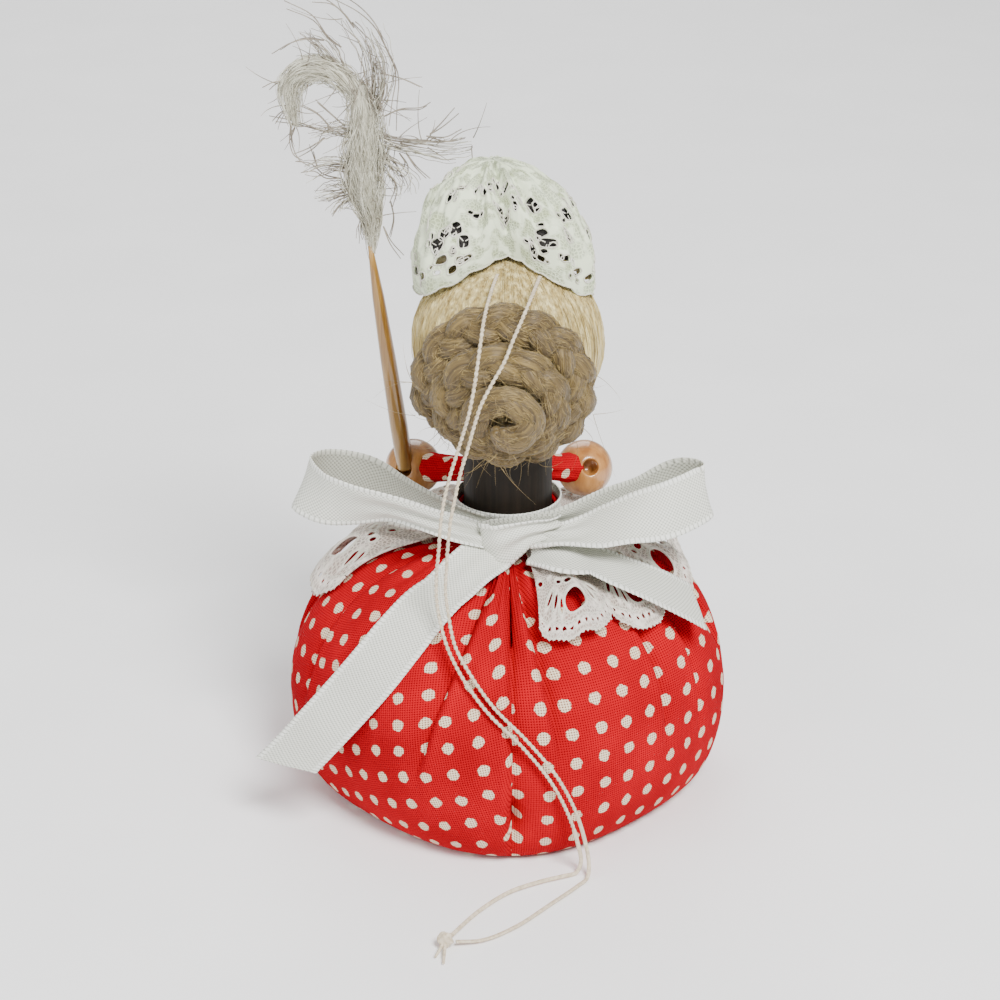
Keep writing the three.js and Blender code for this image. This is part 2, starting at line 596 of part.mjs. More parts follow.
// Bow loop: out from the knot, round the tip and back behind itself. Each stop gives its place outwards,
// backwards and up in shares of the reach, and the lean of the ribbon's width in the same directions
function bowLoop(name, side, reach, stops) {
  const root = (KNOT_WIDTH / 2 + CLEARANCE) / reach;
  const near = (CLEARANCE + 0.72 * KNOT_DEPTH) / reach;
  const far = (CLEARANCE + RIBBON) / reach;
  const first = { place: [root, near, 0.035], lean: [0, -0.7, 0.7] };
  const last = { place: [root, far, 0.055], lean: [0, 0, 1] };
  const all = [first, ...stops, last];
  const vector = ([out, back, up], scale) => new THREE.Vector3(side * out, back, up).multiplyScalar(scale);
  const line = new THREE.CatmullRomCurve3(all.map(({ place }) => vector(place, reach)), false, "centripetal");
  const leans = new THREE.CatmullRomCurve3(all.map(({ lean }) => vector(lean, 1)), false, "centripetal");
  const steps = 30;
  const stations = [];
  for (let i = 0; i <= steps; i++) {
    const t = line.getUtoTmapping(i / steps);
    const middle = line.getPoint(t);
    const along = line.getTangent(t);
    const lean = leans.getPoint(t);
    const across = lean.addScaledVector(along, -lean.dot(along)).normalize();
    const face = new THREE.Vector3().crossVectors(along, across);
    const pinch = THREE.MathUtils.lerp(0.5, 1, Math.min(1, Math.min(i, steps - i) / 6));
    stations.push({ middle, across: across.multiplyScalar(pinch), face });
  }
  return piece(name, ribbon(stations), finishes.satin);
}
const loopLeft = bowLoop("ribbon_loop_left", 1, LOOP_LEFT_REACH, [
  { place: [0.344, 0.134, 0.124], lean: [0, -0.9, 0.4] },
  { place: [0.555, 0.139, 0.193], lean: [0, -1, 0.1] },
  { place: [0.751, 0.123, 0.223], lean: [0, -1, 0.1] },
  { place: [0.907, 0.063, 0.234], lean: [-0.15, -0.85, 0.5] },
  { place: [1, -0.057, 0.258], lean: [-0.31, -0.55, 0.75] },
  { place: [0.907, -0.167, 0.247], lean: [-0.2, -0.3, 0.95] },
  { place: [0.71, -0.189, 0.206], lean: [0, -0.15, 1] },
  { place: [0.536, -0.139, 0.119], lean: [0, -0.1, 1] },
  { place: [0.35, -0.068, 0.083], lean: [0, 0, 1] },
]);
const loopRight = bowLoop("ribbon_loop_right", -1, LOOP_RIGHT_REACH, [
  { place: [0.241, 0.122, 0.06], lean: [0, -0.9, 0.4] },
  { place: [0.385, 0.133, 0.086], lean: [0, -1, 0.1] },
  { place: [0.598, 0.133, 0.146], lean: [0, -0.85, 0.5] },
  { place: [0.822, 0.082, 0.186], lean: [-0.15, -0.4, 0.9] },
  { place: [1, -0.048, 0.237], lean: [-0.2, -0.4, 0.9] },
  { place: [0.892, -0.127, 0.239], lean: [-0.1, -0.2, 1] },
  { place: [0.686, -0.122, 0.135], lean: [0, -0.1, 1] },
  { place: [0.499, -0.088, 0.095], lean: [0, 0, 1] },
  { place: [0.269, -0.003, 0.065], lean: [0, 0, 1] },
]);
bow.add(ribbonKnot(), loopLeft, loopRight);

// Bow tail: leaves beside the knot and lies down the skirt. Each stop gives the distance from the post as a
// share of the skirt's radius, the bearing in degrees and the lift over the cloth
function bowTail(name, stops) {
  const line = new THREE.CatmullRomCurve3(
    stops.map(({ share, bearing, lift }) => {
      const radius = share * SKIRT_RADIUS;
      return polar(radius, THREE.MathUtils.degToRad(bearing), shoulderHeight(radius) + lift);
    }),
    false,
    "centripetal",
  );
  const steps = 14;
  const stations = [];
  for (let i = 0; i <= steps; i++) {
    const middle = line.getPointAt(i / steps);
    const along = line.getTangentAt(i / steps);
    const radius = Math.hypot(middle.x, middle.y);
    const steepness = THREE.MathUtils.smoothstep(radius, 0.4 * SKIRT_RADIUS, SKIRT_RADIUS);
    const bearing = THREE.MathUtils.lerp(Math.atan2(middle.y, middle.x), BACK, 0.45 * steepness);
    const out = polar(Math.sin(1.3 * steepness), bearing, Math.cos(1.3 * steepness));
    const pinch = THREE.MathUtils.lerp(0.55, 1, Math.min(1, i / 4));
    const across = new THREE.Vector3().crossVectors(out, along).normalize();
    const face = new THREE.Vector3().crossVectors(along, across);
    stations.push({ middle, across: across.multiplyScalar(pinch), face });
  }
  return piece(name, ribbon(stations), finishes.satin);
}
const overCloth = RIBBON + 3 * CLEARANCE;
const overCollar = overCloth + LACE + 0.4 * COLLAR_RUFFLE_HEIGHT + 0.6 * PANEL_PUFF;
const tailRoot = (BAND_OUTER + KNOT_DEPTH + 2 * CLEARANCE) / SKIRT_RADIUS;
doll.add(
  neckBand(),
  bowTail("ribbon_tail_left", [
    { share: tailRoot, bearing: 71, lift: overCloth },
    { share: 0.468, bearing: 67.5, lift: overCloth + 1 },
    { share: 0.6, bearing: 63.3, lift: overCloth + 1.4 },
    { share: 0.72, bearing: 59.3, lift: overCloth + 2 },
    { share: 0.842, bearing: 55.2, lift: overCloth + 2.4 },
    { share: 0.94, bearing: 50.7, lift: overCloth + 3.3 },
    { share: 1.015, bearing: 45.3, lift: 10.8 },
    { share: 1.106, bearing: 40.9, lift: 5.1 },
    { share: 1.19, bearing: 35.7, lift: -1.4 },
  ]),
  bowTail("ribbon_tail_right", [
    { share: tailRoot, bearing: 112, lift: overCloth + 2 * LACE },
    { share: 0.496, bearing: 121.8, lift: overCollar + 1.5 },
    { share: 0.571, bearing: 132.3, lift: overCollar + 1.8 },
    { share: 0.681, bearing: 140.1, lift: overCollar + 2.1 },
    { share: 0.785, bearing: 147.4, lift: overCollar + 2.8 },
    { share: 0.861, bearing: 152.7, lift: overCollar + 3.7 },
    { share: 0.944, bearing: 159.2, lift: overCollar + 5.9 },
  ]),
);

// Arms, each in a frame with its origin at the shoulder and +X along the sleeve
function addArm(side, arm, boreAxis, cutFromHand) {
  const swing = new THREE.Group();
  swing.position.copy(arm.pivot);
  swing.rotation.set(0, arm.dip, arm.heading, "ZYX");
  const start = new THREE.Vector3(-SLEEVE_ROOT_RADIUS + CLEARANCE, 0, 0);
  const end = new THREE.Vector3(arm.reach - HAND_RADIUS / 2, 0, 0);
  const cuff = arm.reach - 0.72 * HAND_RADIUS;
  const root = new THREE.Path().absarc(0, 0, SLEEVE_ROOT_RADIUS, -Math.PI / 2, 0, false).getPoints(5);
  const sleeve = new THREE.SplineCurve([
    at(SLEEVE_ROOT_RADIUS, 0),
    at(SLEEVE_ROOT_RADIUS + 0.25, cuff * 0.45),
    at(SLEEVE_CUFF_RADIUS - 0.35, cuff * 0.78),
    at(SLEEVE_CUFF_RADIUS, cuff),
  ]).getPoints(7);
  const profile = [...root, ...sleeve.slice(1), at(0, cuff)];
  const cloth = solid(new THREE.LatheGeometry(profile, 14).rotateZ(-Math.PI / 2));
  const bore = solid(bar(new THREE.Vector3(-2 * SLEEVE_ROOT_RADIUS, 0, 0), end, WIRE_RADIUS + CLEARANCE, 10));
  const ball = (margin) => solid(new THREE.SphereGeometry(HAND_RADIUS + margin, 18, 12));
  const palm = ball(CLEARANCE).translate([arm.reach, 0, 0]);
  swing.add(
    piece("arm_wire_" + side, bar(start, end, WIRE_RADIUS, 10), finishes.steel),
    piece("sleeve_" + side, cloth.subtract(bore).subtract(palm), finishes.cotton),
  );
  const hand = new THREE.Group();
  hand.position.copy(arm.hand);
  const behind = (distance) => arm.along.clone().multiplyScalar(-distance);
  const wireEnd = behind(HAND_RADIUS / 2 - CLEARANCE);
  const wireHole = bar(wireEnd, behind(2 * HAND_RADIUS), WIRE_RADIUS + CLEARANCE, 10);
  const through = boreAxis.clone().multiplyScalar(2 * HAND_RADIUS);
  const hole = solid(bar(through.clone().negate(), through, HAND_BORE_RADIUS, 16));
  const bead = ball(0).subtract(hole).subtract(solid(wireHole));
  hand.add(piece("hand_bead_" + side, cutFromHand ? bead.subtract(cutFromHand) : bead, finishes.birch));
  doll.add(swing, hand);
}

// Duster stick: round, slimmer towards its whittled point, turned about +Z from its foot
function stickProfile(margin) {
  const shank = STICK_LENGTH - STICK_POINT_LENGTH;
  return [
    at(0, -margin),
    at(STICK_RADIUS + margin, -margin),
    at(STICK_RADIUS * 1.03 + margin, 0.25 * shank),
    at(STICK_RADIUS * 0.9 + margin, 0.65 * shank),
    at(STICK_RADIUS * 0.68 + margin, shank),
    at(STICK_TIP_RADIUS + margin, STICK_LENGTH + margin),
    at(0, STICK_LENGTH + margin),
  ];
}
const lean = new THREE.Quaternion().setFromUnitVectors(new THREE.Vector3(0, 0, 1), STICK_LEAN);
const notch = turned(stickProfile(CLEARANCE), 16).applyQuaternion(lean);
const seated = solid(notch.translate(STICK_SEAT.x, STICK_SEAT.y, STICK_SEAT.z));
addArm("left", armLeft, STICK_SEAT.clone().normalize(), seated);
addArm("right", armRight, RIGHT_BORE_AXIS, null);

const duster = new THREE.Group();
duster.position.copy(armLeft.hand).add(STICK_SEAT);
duster.quaternion.copy(lean);
doll.add(duster);

// Tuft: teased yarn drawn on to the point, with a lock that hooks over at the top and shorter ones round it
function tuft() {
  const foot = STICK_LENGTH - 0.6 * STICK_POINT_LENGTH;
  const lock = (stops, steps, radiusAt) => {
    const size = new THREE.Vector3(TUFT_RADIUS, TUFT_RADIUS, TUFT_LENGTH);
    const points = stops.map((stop) => new THREE.Vector3(...stop).multiply(size).add(high(foot)));
    return solid(taperedTube(new THREE.CatmullRomCurve3(points, false, "centripetal"), steps, 8, radiusAt));
  };
  const neck = 0.4 * TUFT_RADIUS;
  const body = (t) => neck * (1 - t) + TUFT_RADIUS * (1 - 0.3 * t) * Math.sin(Math.PI * t ** 0.9) ** 2 + 0.4;
  const thin = (t) => THREE.MathUtils.lerp(0.45, 0.14, t) * TUFT_RADIUS;
  const slim = (t) => THREE.MathUtils.lerp(0.3, 0.12, t) * TUFT_RADIUS;
  const core = lock(
    [[0, 0, 0], [-0.19, 0, 0.18], [-0.26, 0, 0.48], [-0.76, 0, 0.67], [-1.43, 0, 0.86], [-1.07, 0, 1]],
    14,
    body,
  );
  const hook = lock(
    [[-0.48, 0, 0.55], [-0.71, 0, 0.69], [-0.12, 0, 0.81], [1.12, 0, 0.86], [2.25, 0, 0.79], [2.5, 0, 0.67]],
    14,
    thin,
  );
  const spur = lock([[-0.48, 0, 0.5], [-2.38, 0.14, 0.53], [-3.57, 0.29, 0.51]], 6, slim);
  const wisp = lock([[0, 0, 0.37], [1.19, -0.14, 0.34], [1.95, -0.29, 0.37]], 6, slim);
  const backLock = lock([[-0.24, 0, 0.48], [0, 1.19, 0.54], [0.24, 2.02, 0.6]], 6, slim);
  const frontLock = lock([[-0.24, 0, 0.46], [-0.48, -1.19, 0.5], [-0.48, -2.02, 0.56]], 6, slim);
  const socket = solid(turned(stickProfile(CLEARANCE), 16));
  const yarn = [hook, spur, wisp, backLock, frontLock].reduce((sum, part) => sum.add(part), core);
  return piece("duster_tuft", yarn.subtract(socket), finishes.yarn);
}
duster.add(piece("duster_stick", turned(stickProfile(0), 16), finishes.birch), tuft());

// Hanging cord: two strands from under the cap's gather, over the bun, down the skirt to a knot on the floor
const CORD_LEFT = [
  [1.9, 9, 100.7], [3.1, 14.9, 98.7], [4, 19.5, 96.3], [4.6, 23.5, 93.7], [5.2, 25.5, 90.2],
  [5.8, 27.2, 86.7], [6.6, 28.2, 82.9], [7.7, 28.3, 78.9], [8.9, 28.4, 74.9], [10.1, 28.5, 70.8],
  [11, 28.7, 66.7], [11.6, 28.9, 62.4], [11.9, 29.1, 58.1], [12.3, 29.2, 53.8], [12.4, 29.4, 49.4],
  [11.8, 30.3, 45.2], [10.4, 32.4, 40.8], [7.6, 35.5, 36.3], [3.4, 38.6, 31.5], [-2, 40.5, 26.5],
  [-6.9, 41.1, 20.2], [-10.2, 40.7, 13.3], [-12.2, 39.8, 6.3], [-12.8, 39.6, 2.2], [-12, 40.2, 0.6],
  [-9.6, 41.4, 0.6], [-5.5, 43.2, 0.6], [-0.3, 46.4, 0.6], [4.9, 52.2, 0.6], [9.9, 61, 1.1],
];
const CORD_RIGHT = [
  [-5.4, 8.6, 100.2], [-3.9, 17.7, 99.7], [-2.4, 21.2, 97], [-0.8, 24, 94.1], [0.8, 26, 91],
  [2.8, 27.7, 87.9], [4.6, 28.8, 84.6], [5.8, 28.9, 80.7], [6.9, 29.1, 76.6], [8.1, 29.2, 72.4],
  [9, 29.2, 68.1], [9.8, 29.3, 63.8], [10.3, 29.4, 59.4], [10.6, 29.5, 54.9], [10.8, 29.6, 50.4],
  [10.3, 30.3, 46.2], [9.2, 32.3, 41.4], [6.4, 35.3, 37.1], [2.4, 38.3, 32.4], [-3, 40.4, 27.4],
  [-8.1, 41, 20.9], [-11.5, 40.6, 13.8], [-13.5, 39.9, 6.6], [-14.2, 40, 2.2], [-13.9, 41.8, 0.6],
  [-12.2, 44.4, 0.6], [-7.5, 50, 0.6], [-1.2, 57.2, 0.6], [4.4, 61.2, 0.6], [8.8, 62.4, 1.1],
];
const CORD_KNOT = [10.6, 62.4, CORD_KNOT_RADIUS + 0.1];
function cord(name, points) {
  const line = new THREE.CatmullRomCurve3(points.map((p) => new THREE.Vector3(...p)), false, "centripetal");
  const corner = (_, i) => at(CORD_RADIUS, 0).rotateAround(at(0, 0), (i / CORD_SIDES) * TAU);
  const round = new THREE.Shape(Array.from({ length: CORD_SIDES }, corner));
  const tube = new THREE.ExtrudeGeometry(round, { steps: 40, extrudePath: line, bevelEnabled: false });
  return piece(name, tube, finishes.thread);
}
function cordKnot() {
  const lump = new THREE.SphereGeometry(CORD_KNOT_RADIUS, 12, 8).scale(1.15, 0.9, 1);
  return piece("cord_knot", lump.translate(...CORD_KNOT), finishes.thread);
}
doll.add(cord("cord_strand_left", CORD_LEFT), cord("cord_strand_right", CORD_RIGHT), cordKnot());

export default doll;
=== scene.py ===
import math
import random

import bmesh
import bpy
from mathutils import Matrix, Vector, noise


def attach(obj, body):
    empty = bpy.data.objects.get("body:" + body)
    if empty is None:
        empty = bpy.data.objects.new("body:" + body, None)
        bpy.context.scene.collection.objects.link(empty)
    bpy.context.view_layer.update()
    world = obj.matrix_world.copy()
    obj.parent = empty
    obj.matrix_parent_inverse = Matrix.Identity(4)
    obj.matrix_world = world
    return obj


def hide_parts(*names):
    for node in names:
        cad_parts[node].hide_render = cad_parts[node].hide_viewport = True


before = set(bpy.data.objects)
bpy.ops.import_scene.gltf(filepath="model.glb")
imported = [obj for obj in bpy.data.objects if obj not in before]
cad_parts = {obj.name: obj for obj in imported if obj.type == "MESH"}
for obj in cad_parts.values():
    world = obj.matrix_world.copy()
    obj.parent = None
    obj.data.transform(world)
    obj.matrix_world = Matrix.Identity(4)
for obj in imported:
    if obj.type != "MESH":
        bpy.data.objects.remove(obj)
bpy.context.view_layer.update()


# Base board. A disc of sanded plywood in the foot of the bag, so that the doll stands. The post is glued
# into a socket in its upper face. Pale and dull, with a straight grain about a millimetre wide.
MM = 0.001


def linear(code):
    """An sRGB hex colour as linear red, green, blue and alpha."""
    shares = [int(code[i:i + 2], 16) / 255 for i in (1, 3, 5)]
    return [c / 12.92 if c <= 0.04045 else ((c + 0.055) / 1.055) ** 2.4 for c in shares] + [1.0]


def node(tree, kind, settings=None, inputs=None):
    """Adds a node with its settings. An input given as a socket is linked, and any other is set."""
    made = tree.nodes.new(kind)
    for name, value in (settings or {}).items():
        setattr(made, name, value)
    for name, value in (inputs or {}).items():
        if isinstance(value, bpy.types.NodeSocket):
            tree.links.new(value, made.inputs[name])
        else:
            made.inputs[name].default_value = value
    return made


def material(name):
    """An empty material, its node tree and the place of each point in the part's frame."""
    made = bpy.data.materials.new(name)
    made.use_nodes = True
    made.node_tree.nodes.clear()
    return made, made.node_tree, node(made.node_tree, "ShaderNodeTexCoord").outputs["Object"]


def maths(tree, operation, *values):
    return node(tree, "ShaderNodeMath", {"operation": operation}, dict(enumerate(values))).outputs[0]


def between(tree, value, low, high, start=0.0, end=1.0):
    """The value's share of the way from low to high, as a number from start to end."""
    return node(tree, "ShaderNodeMapRange", None, {"Value": value, "From Min": low, "From Max": high,
                                                   "To Min": start, "To Max": end}).outputs[0]


def mottle(tree, place, size, detail=3.0):
    """Noise from 0 to 1 in blotches of about that size in mm: one number, or one for each axis."""
    sizes = size if isinstance(size, tuple) else (size,) * 3
    scaled = node(tree, "ShaderNodeMapping", None, {"Vector": place, "Scale": [1000 / s for s in sizes]})
    found = node(tree, "ShaderNodeTexNoise", None,
                 {"Vector": scaled.outputs[0], "Scale": 1.0, "Detail": detail})
    return between(tree, found.outputs[0], 0.3, 0.7)


def mix(tree, share, low, high):
    """The colour between two others, each a hex code or a socket."""
    low, high = (linear(c) if isinstance(c, str) else c for c in (low, high))
    return node(tree, "ShaderNodeMix", {"data_type": "RGBA"}, {0: share, 6: low, 7: high}).outputs[2]


def relief(tree, height, depth):
    """A bump of that depth in mm."""
    return node(tree, "ShaderNodeBump", None, {"Height": height, "Distance": depth * MM}).outputs[0]


def finished(tree, inputs):
    """Ends a node tree in one shader with these inputs."""
    shader = node(tree, "ShaderNodeBsdfPrincipled", None, inputs)
    node(tree, "ShaderNodeOutputMaterial", None, {"Surface": shader.outputs[0]})


def set_finish(obj, finish):
    obj.data.materials.clear()
    obj.data.materials.append(finish)


plywood, tree, place = material("sanded plywood")
grain = mottle(tree, place, (11, 1, 1), 4.0)
finished(tree, {"Base Color": mix(tree, grain, "#d2b183", "#a9855a"), "Roughness": 0.75,
                "Normal": relief(tree, grain, 0.05)})
set_finish(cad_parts["base_disc"], plywood)


# Post. A round wooden rod, stained near black, from the base board to a tenon in the head. Matt, with a
# faint upright grain that catches a little light.
POST_RADIUS = 8.0
POST_FOOT = 3.3
POST_TOP = 71.9
TENON_RADIUS = 4.0
TENON_TOP = 80.9


def turned(profile, steps=64):
    """A body of (radius, height) points in mm, spun about the Z axis."""
    mesh = bmesh.new()
    chain = [mesh.verts.new((radius, 0, height)) for radius, height in profile]
    edges = [mesh.edges.new(pair) for pair in zip(chain, chain[1:])]
    bmesh.ops.spin(mesh, geom=chain + edges, axis=(0, 0, 1), cent=(0, 0, 0),
                   angle=2 * math.pi, steps=steps, use_merge=True)
    bmesh.ops.remove_doubles(mesh, verts=mesh.verts[:], dist=1e-4)
    bmesh.ops.recalc_face_normals(mesh, faces=mesh.faces[:])
    return mesh


def placed(name, data, body=None):
    """Puts a mesh, curve, lamp or camera into the scene, on one of the moving bodies if one is given."""
    made = bpy.data.objects.new(name, data)
    bpy.context.scene.collection.objects.link(made)
    if body:
        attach(made, body)
    return made


def piece(name, mesh, finish, body="doll"):
    """Puts a bmesh made in mm into the scene, smooth shaded and in metres, on one of the moving bodies."""
    mesh.transform(Matrix.Scale(MM, 4))
    for face in mesh.faces:
        face.smooth = True
    data = bpy.data.meshes.new(name)
    mesh.to_mesh(data)
    mesh.free()
    data.materials.append(finish)
    return placed(name, data, body)


def thicken(obj, thickness, offset=-1):
    """Gives a sheet its thickness in mm."""
    wall = obj.modifiers.new("thickness", "SOLIDIFY")
    wall.thickness = thickness * MM
    wall.offset = offset


stained, tree, place = material("black stained wood")
grain = mottle(tree, place, (0.9, 0.9, 14), 5.0)
finished(tree, {"Base Color": mix(tree, grain, "#17120c", "#251d15"), "Roughness": 0.6,
                "Normal": relief(tree, grain, 0.03), "Specular IOR Level": 0.25})

profile = [(0, POST_FOOT), (POST_RADIUS - 0.4, POST_FOOT), (POST_RADIUS, POST_FOOT + 0.4)]
profile += [(POST_RADIUS, 20), (POST_RADIUS, 40), (POST_RADIUS, 55), (POST_RADIUS, POST_TOP - 0.8)]
profile += [(POST_RADIUS - 0.8, POST_TOP), (TENON_RADIUS, POST_TOP)]
profile += [(TENON_RADIUS, TENON_TOP), (0, TENON_TOP)]
post = piece("post", turned(profile), stained)
post.modifiers.new("soft edges", "BEVEL").width = 0.15 * MM
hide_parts("neck_post")


# Skirt. A bag of plain-woven red cotton with printed cream dots, tied in round the post and stuffed. Folds
# run down from the neck, and the seam down the back lies over a tuck near the foot.
SKIRT_RADIUS = 39.5
BELLY = 18.0
SHOULDER = 48.0
NECK_RADIUS = 9.0
SEAM = 91
# Each fold: its bearing at the belly and how far that moves towards the neck, in degrees, its depth in mm,
# the height where it ends, and which side lies on top
FOLDS = [
    (91, 0, 1.5, 1, -1), (104, -8, 1.7, 20, -1), (137, 1, 1.9, 17, -1), (153, 0, 1.4, 14, -1),
    (176, -2, 1.2, 22, 1), (198, 0, 1.3, 18, -1), (221, 2, 1.1, 22, 1), (244, 0, 1.4, 20, -1),
    (268, -2, 1.2, 16, 1), (290, 0, 1.3, 22, 1), (312, 1, 1.2, 20, -1), (334, 2, 1.4, 18, 1),
    (357, 3, 1.2, 22, -1), (380, 5, 1.3, 18, 1), (403, 10, 1.2, 24, 1), (426, 15, 1.8, 13, 1),
    (451, 0, 1.5, 1, -1),
]
PANELS = list(zip(FOLDS, FOLDS[1:]))
DOT_PITCH = 5.4
DOT_RADIUS = 1.1
THREAD_PITCH = 0.46


def share_of(value):
    """The value, kept between 0 and 1."""
    return min(max(value, 0), 1)


def smooth(low, high, value):
    """0 below low, 1 above high and smooth between."""
    share = share_of((value - low) / (high - low))
    return share * share * (3 - 2 * share)


def round_post(radius, turn, height):
    """A point by its distance from the post's axis, its bearing in radians and its height."""
    return Vector((radius * math.cos(turn), radius * math.sin(turn), height))


def bezier(a, b, c, d, share):
    """A point on a cubic curve between points of any size."""
    rest = 1 - share
    weights = (rest ** 3, 3 * rest ** 2 * share, 3 * rest * share ** 2, share ** 3)
    return Vector(sum(w * p[i] for w, p in zip(weights, (a, b, c, d))) for i in range(len(a)))


def woven(tree, flat, pitch):
    """The height of a plain weave from 0 to 1: bare holes at 0, the tops of the threads at 1."""
    scaled = node(tree, "ShaderNodeMapping", None, {"Vector": flat, "Scale": [math.pi / (pitch * MM)] * 3})
    parts = node(tree, "ShaderNodeSeparateXYZ", None, {0: scaled.outputs[0]})
    waves = [maths(tree, "ABSOLUTE", maths(tree, "SINE", parts.outputs[axis])) for axis in (0, 1)]
    return maths(tree, "MULTIPLY", maths(tree, "ADD", *waves), 0.5)


def on_flat_cloth(tree):
    """The place of each point on the uncut cloth."""
    return node(tree, "ShaderNodeUVMap", {"uv_map": "cloth"}).outputs[0]


def printed_cotton(name):
    """Plain weave reads as fine pits between the threads, drawn about a quarter too coarse, to show. The pits
    between the threads are painted near black, and the dots' threads darker where they dip, as painted shade.
    """
    made, tree, _ = material(name)
    flat = on_flat_cloth(tree)
    wander = node(tree, "ShaderNodeTexNoise", {"noise_dimensions": "2D"}, {"Vector": flat, "Scale": 900.0})
    shifted = node(tree, "ShaderNodeVectorMath", {"operation": "MULTIPLY_ADD"},
                   {0: wander.outputs["Color"], 1: (0.0006, 0.0006, 0), 2: flat})
    spots = node(tree, "ShaderNodeTexVoronoi", {"voronoi_dimensions": "2D"},
                 {"Vector": shifted.outputs[0], "Scale": 1 / (DOT_PITCH * MM), "Randomness": 0.08})
    edge = DOT_RADIUS / DOT_PITCH
    bare = between(tree, spots.outputs["Distance"], edge - 0.015, edge + 0.015)
    threads = woven(tree, flat, THREAD_PITCH)
    red = mix(tree, mottle(tree, flat, 14), "#bd0018", "#a20012")
    # Painted shade: the dots' threads are darker where they dip, and the pits between all threads are near
    # black.
    cream = mix(tree, between(tree, threads, 0.3, 0.7), "#b98a6e", "#e6d5b8")
    weave_painted_shade = mix(tree, between(tree, threads, 0.2, 0.55), "#4a0004", mix(tree, bare, cream, red))
    finished(tree, {"Base Color": weave_painted_shade, "Roughness": 0.95, "Normal": relief(tree, threads, 0.12),
                    "Specular IOR Level": 0.05})
    return made


def cloth(columns, rows, place, flat, joined=False):
    """A grid of cloth. place gives each point in mm from its shares along and across. flat gives its place in
    mm on the uncut cloth, from the same shares and those of its face's middle."""
    mesh = bmesh.new()
    bmesh.ops.create_grid(mesh, x_segments=columns, y_segments=rows, size=0.5)
    sheet = mesh.loops.layers.uv.new("cloth")
    for face in mesh.faces:
        middle = face.calc_center_median()
        for loop in face.loops:
            share = loop.vert.co
            across = flat(share.x + 0.5, share.y + 0.5, middle.x + 0.5, middle.y + 0.5)
            loop[sheet].uv = (across[0] * MM, across[1] * MM)
    for vert in mesh.verts:
        vert.co = place(vert.co.x + 0.5, vert.co.y + 0.5)
    if joined:
        bmesh.ops.remove_doubles(mesh, verts=mesh.verts[:], dist=1e-3)
    return mesh


flat_foot = [(radius, 0.0) for radius in (0.3, 4, 8, 12, 16, 20, 23, 26, 28.5)]
under = [bezier((31, 0), (36.27, 0), (SKIRT_RADIUS, 7.56), (SKIRT_RADIUS, BELLY), i / 24) for i in range(25)]
over = [bezier((SKIRT_RADIUS, BELLY), (SKIRT_RADIUS, 36.6), (24.86, SHOULDER),
               (NECK_RADIUS, SHOULDER), i / 56) for i in range(1, 57)]
tuck = [(NECK_RADIUS, height) for height in (49.2, 51, 52.6, 54)] + [(8.6, 54.2), (8.35, 53)]
outline = flat_foot + under + over + tuck
belly_row = len(flat_foot) + len(under) - 1
neck_row = belly_row + len(over)
steps = [math.dist(a, b) for a, b in zip(outline, outline[1:])]
height_along = [sum(steps[:i]) - sum(steps[:belly_row]) for i in range(len(outline))]


def gathered_bearing(bearing, row):
    """Where a bearing at the belly has moved to at a higher row, both in degrees."""
    rise = min(max((row - belly_row) / (neck_row - belly_row), 0) / 0.8, 1)
    for (a, shift_a, *_), (b, shift_b, *_) in PANELS:
        if a <= bearing <= b:
            return bearing + (shift_a + (shift_b - shift_a) * (bearing - a) / (b - a)) * rise
    return bearing


def fold_out(bearing, row):
    """How far the cloth stands out from the plain bag, in mm."""
    radius, height = outline[row]
    turn = gathered_bearing(bearing, row)
    push = 0.0
    puffed = 0.9 * smooth(20, 36, height) * (1 - smooth(44.2, 48, height))
    for (a, *_), (b, *_) in PANELS:
        if a <= bearing < b:
            push += puffed * math.sin(math.pi * (bearing - a) / (b - a)) ** 0.8
    for a, _, depth, low, lap in FOLDS:
        off = math.radians(turn - gathered_bearing(a, row)) * max(radius, 11)
        if abs(off) > 12:
            continue
        deep = depth * smooth(low, low + 12, height) * (1 - 0.6 * smooth(44, 48, height))
        on_top = off * lap > 0
        tucked = 3.2 * math.exp(-((height - 9) / 5) ** 2) if a in (SEAM, SEAM + 360) else 0
        push -= (deep + tucked) * math.exp(-abs(off) / (0.5 if on_top else 2.4))
        if on_top:
            push += 0.4 * deep * math.exp(-((abs(off) - 1.4) / 1.1) ** 2)
    near_neck = smooth(41, 46, height) * (1 - smooth(47.6, 48, height))
    ribs = 0.3 * math.sin(math.radians(bearing) * 44) * near_neck
    spot = round_post(radius, math.radians(turn), height)
    creases = noise.noise(Vector((spot.x / 10, spot.y / 10, spot.z / 14)))
    return push + ribs + (0.4 * creases + 0.14 * noise.noise(spot / 4.5)) * smooth(1, 8, height)


def skirt_point(along, up, inset=0.0):
    """The bag by its share round from the seam and up its outline, or a point that far inside it."""
    bearing = SEAM + 360 * along
    row = round(up * (len(outline) - 1))
    radius, height = outline[row]
    turn = math.radians(gathered_bearing(bearing, row))
    before, after = outline[max(row - 1, 0)], outline[min(row + 1, len(outline) - 1)]
    slope = Vector((after[1] - before[1], before[0] - after[0])).normalized()
    push = fold_out(bearing, row) * smooth(0, 2.5, height) if 0 < row <= neck_row else 0
    corner = 0.04 * radius * (1 - min(height / SHOULDER, 1)) * math.cos(4 * (turn - math.pi / 2))
    radius += corner + (push - inset) * slope.x
    height += (push - inset) * slope.y
    return round_post(radius, turn, max(height, 0))


